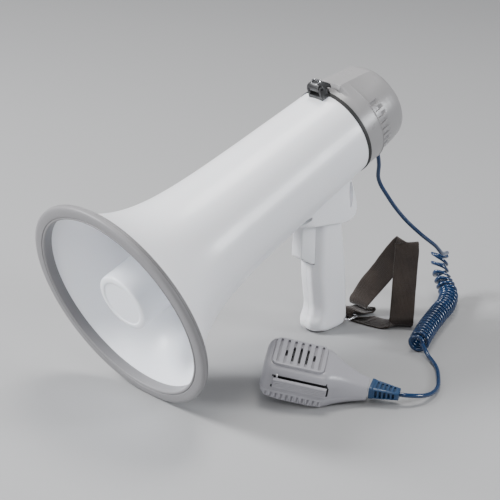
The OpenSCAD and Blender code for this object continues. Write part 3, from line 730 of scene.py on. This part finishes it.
def build_latch():
    base = prism([(306, 47), (316.5, 47), (316.5, 52.6), (315.2, 53.4), (306, 53.4)], -9.4, 9.4)
    cheek = [(306, 48), (306, 60), (307.5, 63.4), (311, 64.2), (315, 59), (316.5, 50), (316.5, 48)]
    obj = make("latch_base_block", base, HORN)
    for x in (-8.2, 8.2):
        carve(obj, prism(cheek, x - 1.2, x + 1.2), HORN, "UNION")
    shell = revolve([(0.01, 290), (body_r(290) + 0.1, 290), (body_r(319) + 0.1, 319), (0.01, 319)], 128)
    carve(obj, shell, HORN)
    part(bevel(obj, 0.45), "horn", BLACK, "black_plastic", "latch_base")
    lever = [(306.4, 58.4), (306.2, 63), (308.4, 65.6), (313.5, 67.4), (315.5, 66.8), (322, 61), (324.6, 58),
             (324.6, 53.4), (323.5, 53.4), (323.5, 55.9), (318, 56.6), (312, 58)]
    obj = make("latch_lever_arm", prism(lever, -6.8, 6.8), HORN)
    window = [(315.6, 68), (323, 61.5), (322.4, 58.6), (318, 59.5), (315.6, 61)]
    carve(obj, prism(window, -3.6, 3.6), HORN)
    part(bevel(obj, 0.5), "latch", BLACK, "black_plastic", "latch_lever")
    wire = rounded([(-4.6, 314.2, 67.9), (-4.6, 308.9, 66.5), (4.6, 308.9, 66.5), (4.6, 314.2, 67.9)], 1.6, 6)
    bail = make("latch_bail", tube(spline(wire, 2, True), 0.75, 10, True), HORN)
    part(bail, "latch", STEEL, "steel")


def build_gland():
    gland = HORN @ shift(0, CORD_S, 0) @ turn(180 - CORD_ANGLE, "Y")
    profile = [(2.4, 39.6), (3.9, 39.6), (3.9, 46.2), (5.3, 46.2), (5.1, 47.3), (4.5, 47.6), (4.4, 48.2),
               (4.0, 48.4),
               (3.9, 49.1), (3.4, 49.4), (3.2, 51), (2.4, 51)]
    solid = moved(revolve(profile, 48), turn(90, "X"))
    part(make("cord_gland_sleeve", solid, gland), "cap", RUBBER, "black_rubber", "cord_gland")


# ---- Grip ----

# Height, front, rear and half width
HANDLE = [(0, -14, 16, 12), (2.2, -20.5, 22, 14.6), (5.5, -25.2, 26.3, 16.1), (9, -26.7, 27.2, 16.5),
          (13, -26.8, 27.4, 16.5), (20, -23.8, 26.9, 16.5), (27, -22.1, 26, 16.5), (45, -24.3, 24.6, 16.5),
          (66, -27.4, 23, 16.5), (100, -28, 17.3, 16.5), (136, -28.5, 11.5, 16.5)]


def handle_ring(z, front, rear, half):
    outline = [(-7, front), (7, front), (half, front + 9), (half, rear - 7), (9, rear), (-9, rear),
               (-half, rear - 7), (-half, front + 9)]
    return [(x, y, z) for x, y in rounded(outline, [2.2, 2.2, 5, 7, 6, 6, 7, 5], 5)]


def build_grip():
    rings = [handle_ring(*key) for key in spline(HANDLE, 6)]
    grip = make("grip", loft(rings), ROW)
    side = rounded([(221, -44), (221, -55.6), (230.5, -58.4), (283, -87.4), (290, -90), (301, -91.5), (307,
                                                                                                       -89),
                    (311.5, -82), (313.7, -72), (315, -58), (315, -44)], [0, 1, 4, 3, 3, 5, 4, 3, 4, 3, 0], 4)
    plan = rounded([(-14, 219), (14, 219), (24, 236), (24, 290), (19.5, 308), (14.5, 315), (-14.5, 315),
                    (-19.5, 308),
                    (-24, 290), (-24, 236)], [6, 6, 10, 12, 8, 4, 4, 8, 12, 10], 4)
    saddle = make("saddle", prism(side, -24.5, 24.5), HORN)
    carve(saddle, prism(plan, -100, -40, "Z"), HORN, "INTERSECT")
    carve(grip, ([tuple(v.co / MM) for v in saddle.data.vertices],
                 [tuple(p.vertices) for p in saddle.data.polygons]),
          ROW, "UNION")
    bpy.data.objects.remove(saddle)
    slot = prism([(-46, 92.2), (-29, 82), (-24, 81.3), (-14, 81), (-14, 128.8), (-46, 133.4)], -9.7, 9.7)
    bore = moved(disc(2.1, -30, 30, 24), shift(0, 20, 7.5) @ turn(90, "Z"))
    heads = [moved(disc(3.2, 12.5, 40, 24), shift(0, y, z) @ turn(90, "Z")) for y, z in ((-3, 108), (2, 62),
                                                                                         (3, 20))]
    carve(grip, merge(bore, *heads), ROW)
    modify(grip, "REMESH", mode="VOXEL", voxel_size=0.95 * MM)
    modify(grip, "SMOOTH", factor=0.5, iterations=4)
    cuts = [revolve([(0.01, 205), (body_r(205) + 0.1, 205), (body_r(330) + 0.1, 330), (0.01, 330)], 96)]
    tear = rounded([(308.2, -51.5), (311, -56), (308.5, -65), (300, -77), (296, -77.5), (299, -66), (303.5,
                                                                                                     -55.5)],
                   [1.5, 2, 4, 3, 2, 4, 3], 3)
    oblong = rounded([(224.5, -51.2), (241, -51.2), (242.5, -53), (240, -55), (228, -55), (224.5, -53.6)], 1.2,
                     3)
    for sign in (-1, 1):
        cuts.append(prism(tear, sign * 13.4, sign * 30))
        cuts.append(prism(oblong, sign * 17, sign * 30))
    seam = [(s, -math.sqrt(body_r(s) ** 2 - 24**2) - drop) for drop, way in ((1.5, 1), (2.1, -1))
            for s in steps(230, 300, 7)[::way]]
    cuts += [prism(seam, sign * 23.3, sign * 30) for sign in (-1, 1)]
    carve(grip, moved(merge(*cuts), HORN), ROW, overlapping=False)
    carve(grip, slot, ROW, overlapping=False)
    data = grip.data
    for name, node, sign in (("grip_shell_left", "grip_left", -1), ("grip_shell_right", "grip_right", 1)):
        half = bpy.data.objects.new(name, data.copy())
        bpy.context.scene.collection.objects.link(half)
        bm = bmesh.new()
        bm.from_mesh(half.data)
        geometry = bm.verts[:] + bm.edges[:] + bm.faces[:]
        cut = bmesh.ops.bisect_plane(bm, geom=geometry, plane_co=(sign * 0.12 * MM, 0, 0), plane_no=(sign, 0,
                                                                                                     0),
                                     clear_inner=True)
        edges = [e for e in cut["geom_cut"] if isinstance(e, bmesh.types.BMEdge)]
        bmesh.ops.triangle_fill(bm, edges=edges, use_beauty=True)
        bmesh.ops.recalc_face_normals(bm, faces=bm.faces)
        bm.to_mesh(half.data)
        bm.free()
        part(half, "horn", WHITE, "white_plastic", node, sharp=38)
    bpy.data.objects.remove(grip)


def build_trigger():
    side = [(-44, 93), (-29, 83), (-21, 82), (-21, 117), (-14.8, 118), (-14.8, 128.4), (-43.2, 132.4)]
    plan = [(-7, -45), (7, -45), (9.5, -28), (9.5, -14), (-9.5, -14), (-9.5, -28)]
    trigger = make("trigger_block", prism(side, -10, 10), ROW)
    carve(trigger, prism(plan, 70, 140, "Z"), ROW, "INTERSECT")
    part(bevel(trigger, 1.3, 3, 20), "trigger", WHITE, "white_plastic", "trigger")


def spring_coil(name, start, axis, radius, wire, length, turns, body, where, node):
    x, y, z = start
    line = lambda t: (x + axis[0] * length * t, y + axis[1] * length * t, z + axis[2] * length * t)
    coil_mesh = coil(line, lambda t: radius - wire / 2, turns, wire / 2, 24, 8)
    return part(make(name, coil_mesh, where), body, STEEL, "steel", node)


# ---- Strap ----


def build_ring():
    path = rounded([(-19.5, 20, 7.5), (19.5, 20, 7.5), (19.5, 36, 7.5), (-19.5, 36, 7.5)], 3.2, 6)
    part(make("strap_ring_wire", tube(path, 1.25, 14, True), ROW), "strap", STEEL, "steel", "strap_ring")


# Middle of the webbing, then the direction of its width
STRAP = [
    (0, 37.4, 11.6, 1, 0, 0), (0.5, 41, 9.4, 1, 0, 0), (2, 49, 5.4, 1, 0, 0), (4, 59, 3.8, 1, 0, 0),
    (5, 65, 4, 1, 0, 0), (5, 66.4, 5.1, 1, 0, 0), (4, 64, 6.3, 1, 0, 0), (2.5, 59, 7.2, 1, 0, 0),
    (1.5, 56.2, 9.6, 1, 0, 0), (1.5, 56, 13, 1, 0.02, -0.03), (3.2, 58.8, 18, 0.99, 0.06, -0.1),
    (7.5, 65.5, 29, 0.94, 0.2, -0.27), (17.5, 73.8, 47.5, 0.9, 0.32, -0.3), (30, 83.5, 72.5, 0.82, 0.48, -0.3),
    (36.2, 88.2, 83, 0.77, 0.57, -0.27), (38.6, 88.6, 85.6, 0.76, 0.6, -0.25), (40.6, 87.2, 82, 0.76, 0.62,
                                                                                -0.2),
    (46, 80.5, 62, 0.76, 0.64, -0.1), (54, 70, 36, 0.76, 0.65, -0.04), (60.6, 61.5, 16, 0.76, 0.65, 0),
    (62.4, 59, 10.6, 0.75, 0.66, 0), (61.8, 59.4, 6, 0.73, 0.68, 0), (58.5, 60, 2.6, 0.68, 0.73, 0),
    (52, 57, 1.25, 0.58, 0.81, 0), (40, 51.5, 1.1, 0.5, 0.87, 0), (22, 46.5, 1.15, 0.78, 0.62, 0),
    (6, 40.5, 2.2, 0.98, 0.15, 0),
    (1, 36.3, 3.9, 1, 0, 0), (0, 33.6, 6.2, 1, 0, 0), (0, 33.5, 9, 1, 0, 0),
]
STRAP_HW = 13
STRAP_T = 1.5


def build_strap():
    path = spline(STRAP, 10, True)
    total = len(path)
    across = [(-STRAP_HW + 0.4 + (2 * STRAP_HW - 0.8) * i / 16) for i in range(17)]
    section = [(a, -STRAP_T / 2) for a in across] + [(STRAP_HW, -0.35), (STRAP_HW, 0.35)]
    section += [(a, STRAP_T / 2) for a in reversed(across)] + [(-STRAP_HW, 0.35), (-STRAP_HW, -0.35)]
    rings, lengths, run = [], [], 0.0
    places = []
    for i, key in enumerate(path):
        p = Vector(key[:3])
        ahead = (Vector(path[(i + 1) % total][:3]) - Vector(path[i - 1][:3])).normalized()
        width = Vector(key[3:])
        width = (width - ahead * width.dot(ahead) * 0.8).normalized()
        normal = ahead.cross(width).normalized()
        wave = noise.noise(Vector((run / 26, 0.3, 0.7))) * (0.9 if p.z > 8 else 0.15)
        ring = []
        for a, b in section:
            cup = 0.5 * (a / STRAP_HW) ** 2 * (1 if p.z > 8 else 0.1)
            edge = 0.18 * math.sin(run / 0.8) if abs(a) > 12.5 else 0
            place = p + width * (a + math.copysign(edge, a)) + normal * (b + cup + wave)
            place.z = max(place.z, 0.1 + STRAP_T / 2 + math.copysign(b, normal.z * b))
            ring.append(tuple(place))
        rings.append(ring)
        places.append((p + normal * wave, ahead, width, normal))
        lengths.append(run)
        run += (Vector(path[(i + 1) % total][:3]) - p).length
    strap = make("wrist_strap_webbing", loft(rings, loop=True), ROW)
    mesh = strap.data
    uv = mesh.uv_layers.new(name="weave")
    lookup = {}
    for i, ring in enumerate(rings):
        for j, p in enumerate(ring):
            lookup[tuple(round(c, 2) for c in p)] = (lengths[i] * MM, section[j][0] * MM, i)
    for face in mesh.polygons:
        found = []
        for loop in face.loop_indices:
            v = mesh.vertices[mesh.loops[loop].vertex_index].co / MM
            found.append(lookup.get(tuple(round(c, 2) for c in v), (0, 0, 0)))
        wraps = max(f[2] for f in found) - min(f[2] for f in found) > total / 2
        for loop, f in zip(face.loop_indices, found):
            u = run * MM if wraps and f[2] == 0 else f[0]
            uv.data[loop].uv = (u, f[1])
    part(strap, "strap", WEBBING, "webbing", "wrist_strap", sharp=60)
    stitches = []
    for start in (16, 19, 106, 109, 176, 179, 246, 249):
        place, ahead, width, normal = places[start]
        for k in range(-5, 6):
            middle = place + width * (k * 2.1)
            for face in (-1, 1):
                a = middle - width * 0.75 + normal * face * (STRAP_T / 2 + 0.05)
                b = middle + width * 0.75 + normal * face * (STRAP_T / 2 + 0.05)
                bulge = (a + b) / 2 + normal * face * 0.22
                lift = Vector((0, 0, max(0, 0.32 - min(a.z, b.z, bulge.z))))
                stitches.append(tube([a + lift, bulge + lift, b + lift], 0.28, 6))
    part(make("wrist_strap_stitches", merge(*stitches), ROW), "strap", THREAD, "webbing")


# ---- Cords ----

CORD_R = 2.25
TURNS = 27
COIL_WIRE = 2.05
CORD_FREE = (31, 90.5, 112)
COIL_PATH = [(25.5, 163.5, 50), (30.5, 158.5, 37), (42, 152.5, 24.5), (55.5, 146, 14.5), (66, 131, 11.6),
             (80, 99, 11.6), (95, 65, 11.6), (116, 24, 11.6)]
COIL_SIDE = Vector((0.7, 0.714, 0.02))


def build_cords():
    a = math.radians(CORD_ANGLE)
    inside = [tuple(HORN @ Vector((math.sin(a) * r, CORD_S, -math.cos(a) * r))) for r in (36, 45, 51.2)]
    tip = inside[-1]
    path = inside[:2] + [tip, (tip[0] + 0.5, tip[1] + 3.5, tip[2] - 14), (13, 65.5, 160), (20.3, 75.8, 136),
                         CORD_FREE, (40.5, 109.5, 91), (43.8, 132.3, 72), (39.5, 150.5, 57)]
    curve = [Vector(p) for p in spline(COIL_PATH, 40)]
    marks = [0.0]
    for p, q in zip(curve, curve[1:]):
        marks.append(marks[-1] + (q - p).length)

    def center(t):
        """Loose loops first, then close ones: t counts turns, not distance."""
        loose, share = 0.11, 0.15
        d = (t / loose * share if t < loose else share + (t - loose) / (1 - loose) * (1 - share)) * marks[-1]
        for i, mark in enumerate(marks[1:]):
            if d <= mark:
                k = (d - marks[i]) / (mark - marks[i])
                return tuple(curve[i] * (1 - k) + curve[i + 1] * k)
        return tuple(curve[-1])

    radius = lambda t: (8.3 + 0.9 * smoothstep(0.1, 0.35, t)) * min(1, 0.5 + (1 - t) * 30)
    wound = coil(center, radius, TURNS, COIL_WIRE, 28, 12, COIL_SIDE, -1)
    middle = [(13, 143.1), (24.5, 138.3), (37, 134.5), (50, 134.5), (70, 134.5)]

    def leaned(x, y, z):
        """The loose turns hang lower on their outer side, and nothing goes under the floor."""
        aside = Vector((x, y, 0)).dot(COIL_SIDE) - interpolate(middle, z)
        return x, y, max(0, z - 0.42 * smoothstep(24, 36, z) * aside)

    cord = make("coil_cord_winding", ([leaned(*p) for p in wound[0]], wound[1]), ROW)
    part(cord, None, BLUE, "blue_cord", "coil_cord", sharp=80)
    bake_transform(cord)
    first = Vector(coil_ends(center, radius, 0))
    upper = make("cord_upper_run", tube(spline(path + [tuple(first)], 14), CORD_R, 16), ROW)
    part(upper, None, BLUE, "blue_cord", "cord_upper", sharp=80)
    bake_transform(upper)
    last = Vector(coil_ends(center, radius, 1))
    lead = [tuple(BOOT @ Vector((x, 0, 0))) for x in (12, 22, 32)]
    lead += [(186.6, -78, 11.6), (190.8, -72, 10.6), (194.6, -60, 8), (193.4, -45.4, 5), (186.4, -27.2, 2.8),
             (172.8, -9.2, 2.3), (146, 15.5, 2.3), (131, 22.5, 5), tuple(last)]
    lead = [(x, y, max(z, CORD_R + 0.05)) for x, y, z in spline(lead, 12)]
    run = make("cord_lead_run", tube(lead, CORD_R, 16), ROW)
    part(run, "microphone", BLUE, "blue_cord", "cord_lead", sharp=80)


def coil_ends(center, radius, t):
    """Where the winding starts or stops, as coil() places it."""
    points = coil(center, radius, TURNS, 0.001, 28, 3, COIL_SIDE, -1)[0]
    ring = points[:3] if t == 0 else points[-3:]
    return tuple(sum(p[k] for p in ring) / 3 for k in range(3))


# ---- Microphone ----

# Distance from the head, half width low down, half width at the face, top, bottom
MIC_FORM = [(-8, 33.4, 27, 33.2, -0.5), (0, 33.4, 27, 33.2, -2.6), (10, 33.4, 27, 33.2, -4),
            (20, 33.4, 27, 33.2, -4.4), (40, 33.4, 27, 33, -4.4), (50, 33.2, 26.8, 32.9, -3.9),
            (55, 32.9, 26.4, 32.6, -3.3),
            (59, 31, 24.4, 31.9, -2.6), (64, 27.4, 20.8, 30.3, -1.8), (74, 22, 16.4, 26.8, -0.3),
            (85, 17.6, 13.4, 23.6, 1.5), (98, 14, 11.6, 20.4, 3.8)]


def mic_ring(x, low, high, top, bottom, shrink):
    low, high, top, bottom = low - shrink, high - shrink, top - shrink, bottom + shrink * 0.75
    waist = bottom + (top - bottom) * 0.24
    outline = [(-low + 3, bottom), (low - 3, bottom), (low, waist), (high + (low - high) * 0.35, top - 7),
               (high - 4.5, top), (-high + 4.5, top), (-high - (low - high) * 0.35, top - 7), (-low, waist)]
    scale = min(1, low / 20)
    radii = [4 * scale, 4 * scale, 9 * scale, 5 * scale, 6 * scale, 6 * scale, 5 * scale, 9 * scale]
    return [(x, y, z) for y, z in rounded(outline, radii, 6)]


def build_microphone():
    """Two shells cut from one lofted form, the slotted pad, the bar and the boot."""
    end = 9
    stations = [-8 + end * (1 - math.cos(math.radians(a))) for a in steps(0, 90, 9)]
    stations += steps(3, 52, 16) + steps(53.5, 97.5, 40) + [97.8, 98]
    rings = []
    smooth = spline(MIC_FORM, 10)
    table = [[(k[0], k[i]) for k in smooth] for i in range(1, 5)]
    for x in stations:
        reach = max(0, end - (x + 8))
        shrink = end - math.sqrt(max(0, end**2 - reach**2))
        shrink += 0.5 * max(0, (x - 97.5) / 0.5)
        rings.append(mic_ring(x, *[interpolate(t, x) for t in table], shrink))
    body = make("mic_body", loft(rings), MIC)
    well = rounded([(-0.9, -23.9), (52.9, -23.9), (52.9, 23.9), (-0.9, 23.9)], 8, 8)
    front = bpy.data.objects.new("mic_front_cover", body.data.copy())
    back = bpy.data.objects.new("mic_back_cover", body.data.copy())
    bpy.context.scene.collection.objects.link(front)
    bpy.context.scene.collection.objects.link(back)
    bpy.data.objects.remove(body)
    box = lambda x0, x1, y0, y1, z0, z1: prism([(y0, z0), (y1, z0), (y1, z1), (y0, z1)], x0, x1)
    carve(front, box(-50, 150, -60, 60, -60, 8.62), MIC)
    carve(front, prism(well, 31.9, 60, "Z"), MIC)
    carve(front, box(-0.5, 50, -22, 22, 0, 29.5), MIC)
    carve(front, moved(disc(16.4, 25, 40, 64), shift(26, 0, 0) @ turn(90, "X")), MIC)
    carve(front, box(4.6, 59.6, -50, -27.5, 12.1, 23.9), MIC)
    part(bevel(front, 0.4, 2, 50), "microphone", MIC_GREY, "grey_plastic", "mic_front_shell")
    # Faces inside the push-to-talk opening get black plastic: painted shade for the gap behind the bar.
    front.data.materials.append(BLACK)
    for face in front.data.polygons:
        x, y, z = MIC.inverted() @ (face.center / MM)
        if 4.4 < x < 60.3 and -33 < y < -27.4 and 11.8 < z < 24.2:
            face.material_index = 1
    carve(back, box(-50, 150, -60, 60, 8.4, 60), MIC)
    scallops = [moved(disc(1.75, -30, 5.6, 20), shift(0.5 + 5.3 * i, -32.2, 0) @ turn(90,
                                                                                      "X")) for i in range(12)]
    carve(back, merge(*scallops), MIC)
    carve(back, moved(disc(2.52, -20, 0.5, 32), shift(25, 3, 0) @ turn(90, "X")), MIC)
    part(bevel(back, 0.35, 2, 40), "microphone", MIC_GREY, "grey_plastic", "mic_back_shell")
    pad = make("mic_grille_pad", prism(rounded([(-0.1, -23.1), (52.1, -23.1), (52.1, 23.1), (-0.1, 23.1)], 7.4,
                                               8),
                                       30.2, 34.5, "Z"), MIC)
    bevel(pad, 0.9, 3, 50)
    slots = []
    for i in range(-3, 4):
        x = 26 + 7 * i
        outline = [(x - 1.35, -20.5), (x + 1.35, -20.5), (x + 1.35, 20.5), (x - 1.35, 20.5)]
        slots.append(prism(rounded(outline, 0.9, 3), 32.4, 40, "Z"))
    carve(pad, merge(*slots), MIC)
    deep = []
    for i in range(-3, 4):
        x = 26 + 7 * i
        half = (0, 5, 12.6, 13.6)[3 - abs(i)]
        if half:
            outline = [(x - 1.2, -half), (x + 1.2, -half), (x + 1.2, half), (x - 1.2, half)]
            deep.append(prism(rounded(outline, 1.1, 3), 25, 40, "Z"))
        deep.append(moved(disc(1.3, -40, -30.6, 20), shift(x, 19.1, 0) @ turn(90, "X")))
    carve(pad, merge(*deep), MIC)
    part(pad, "microphone", MIC_GREY, "grey_plastic")
    build_push_to_talk()
    build_boot()


def build_push_to_talk():
    face = -34.5
    outline = [(face + 0.5, 12.5), (-30.8, 12.5), (-30.8, 22.3), (face + 0.5, 22.3), (face, 21.7)]
    for z in (20.1, 18.3, 16.5, 14.7):
        outline += [(face, z + 0.45), (face + 0.7, z), (face, z - 0.45)]
    outline += [(face, 13.1)]
    bar = make("ptt_bar_cover", prism(outline, 4.8, 58.2), MIC)
    part(bevel(bar, 0.25, 2, 60), "push_to_talk", MIC_GREY, "grey_plastic", "ptt_bar")


def build_boot():
    length = 32

    def block(x0, x1, grow=0.0, scale=1.0, r=2.0):
        rings = []
        for x in (x0, x1):
            t = (x - 2.4) / (length - 2.4)
            w, h = (20 - 8 * t) * scale + grow, (12.5 - 4 * t) * scale + grow
            rings.append([(x, y, z) for y, z in rectangle(w, h, r * scale, 4)])
        return loft(rings)

    boot = make("cord_boot_relief", block(6.4, length), BOOT)
    cuts = []
    for i in range(5):
        x = 9.6 + 4.3 * i
        t = (x - 2.4) / (length - 2.4)
        half, tall = 10 - 4 * t, 6.25 - 2 * t
        for side in (-1, 1):
            cuts.append(prism(rectangle(2 * tall - 3.4, 2.3, 0.5, 2), side * half - 3.6, side * half + 3.6,
                              "Y"))
            points, faces = cuts[-1]
            cuts[-1] = ([(x + z, y, px) for px, y, z in points], faces)
            cuts.append(prism(rounded([(x - 1.1, -half * 0.62), (x + 1.1, -half * 0.62), (x + 1.1, half * 0.62),
                                       (x - 1.1, half * 0.62)], 0.5, 2), side * tall - 1.5, side * tall + 1.5,
                                       "Z"))
    carve(boot, merge(*cuts), BOOT)
    bevel(boot, 0.3, 2, 50)
    flange = make("cord_boot_flange", block(2.4, 6.6, 0.8, 1.0, 2.6), BOOT)
    part(bevel(flange, 0.5, 2, 50), "microphone", BOOT_BLUE, "blue_cord")
    part(boot, "microphone", BOOT_BLUE, "blue_cord", "cord_boot")


# ---- Stage ----


def build_stage():
    bpy.ops.mesh.primitive_plane_add(size=14, location=(0, 0, 0))
    floor = bpy.context.object
    floor.name = "studio_floor"
    n = Nodes("floor")
    n.put(n.shader, "Base Color", n.mix(n.noise(1.2, 2), (0.36, 0.36, 0.365, 1), (0.38, 0.38, 0.38, 1)))
    n.put(n.shader, "Roughness", 0.55)
    n.put(n.shader, "Specular IOR Level", 0.3)
    floor.data.materials.append(n.material)
    world = bpy.data.worlds.new("studio")
    bpy.context.scene.world = world
    world.use_nodes = True
    world.node_tree.nodes["Background"].inputs["Color"].default_value = (0.93, 0.95, 1, 1)
    world.node_tree.nodes["Background"].inputs["Strength"].default_value = 0.24
    aim = Vector((0, -0.1, 0.12))
    lamps = [((-1.5, -1.5, 1.7), 0.8, 110, (0.97, 0.98, 1)), ((-0.3, 0.3, 2.2), 0.8, 30, (1, 0.985, 0.96)),
             ((1.7, 1.1, 0.9), 0.6, 30, (0.93, 0.96, 1)), ((-0.2, -2.4, 0.6), 1.0, 30, (0.95, 0.97, 1)),
             ((1.5, -1.0, 1.9), 0.5, 9, (1, 0.98, 0.96))]
    for i, (where, size, power, color) in enumerate(lamps):
        data = bpy.data.lights.new(f"softbox_{i}", "AREA")
        data.shape, data.size, data.energy, data.color = "SQUARE", size, power, color
        lamp = bpy.data.objects.new(f"softbox_{i}", data)
        bpy.context.scene.collection.objects.link(lamp)
        lamp.location = where
        lamp.rotation_euler = (aim - Vector(where)).to_track_quat("-Z", "Y").to_euler()
    data = bpy.data.cameras.new("camera")
    data.lens, data.sensor_width, data.clip_end = 130.3, 36, 50
    camera = bpy.data.objects.new("camera", data)
    bpy.context.scene.collection.objects.link(camera)
    right, up = Vector((0.699, 0.715, 0.023)).normalized(), Vector((-0.282, 0.247, 0.927))
    back = right.cross(up).normalized()
    up = back.cross(right)
    turned = Matrix((right, up, back)).transposed().to_4x4()
    camera.matrix_world = Matrix.Translation((1.215, -1.323, 0.811)) @ turned
    bpy.context.scene.camera = camera


dress_cad_nodes()
build_bell()
build_bumper()
build_cup()
build_gasket()
build_cap()
build_knob()
build_latch()
build_gland()
build_grip()
build_trigger()
build_ring()
build_strap()
build_cords()
build_microphone()
trigger_spring = spring_coil("trigger_spring_coil", (0, -20.5, 88), (0, 1, 0), 3, 0.7, 7.1, 5, "horn", ROW,
                             "trigger_spring")
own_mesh(trigger_spring)
talk_spring = spring_coil("ptt_spring_coil", (45, -28.6, 17), (0, 1, 0), 2, 0.6, 8.6, 6, "microphone", MIC,
                          "ptt_spring")
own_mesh(talk_spring)
build_stage()
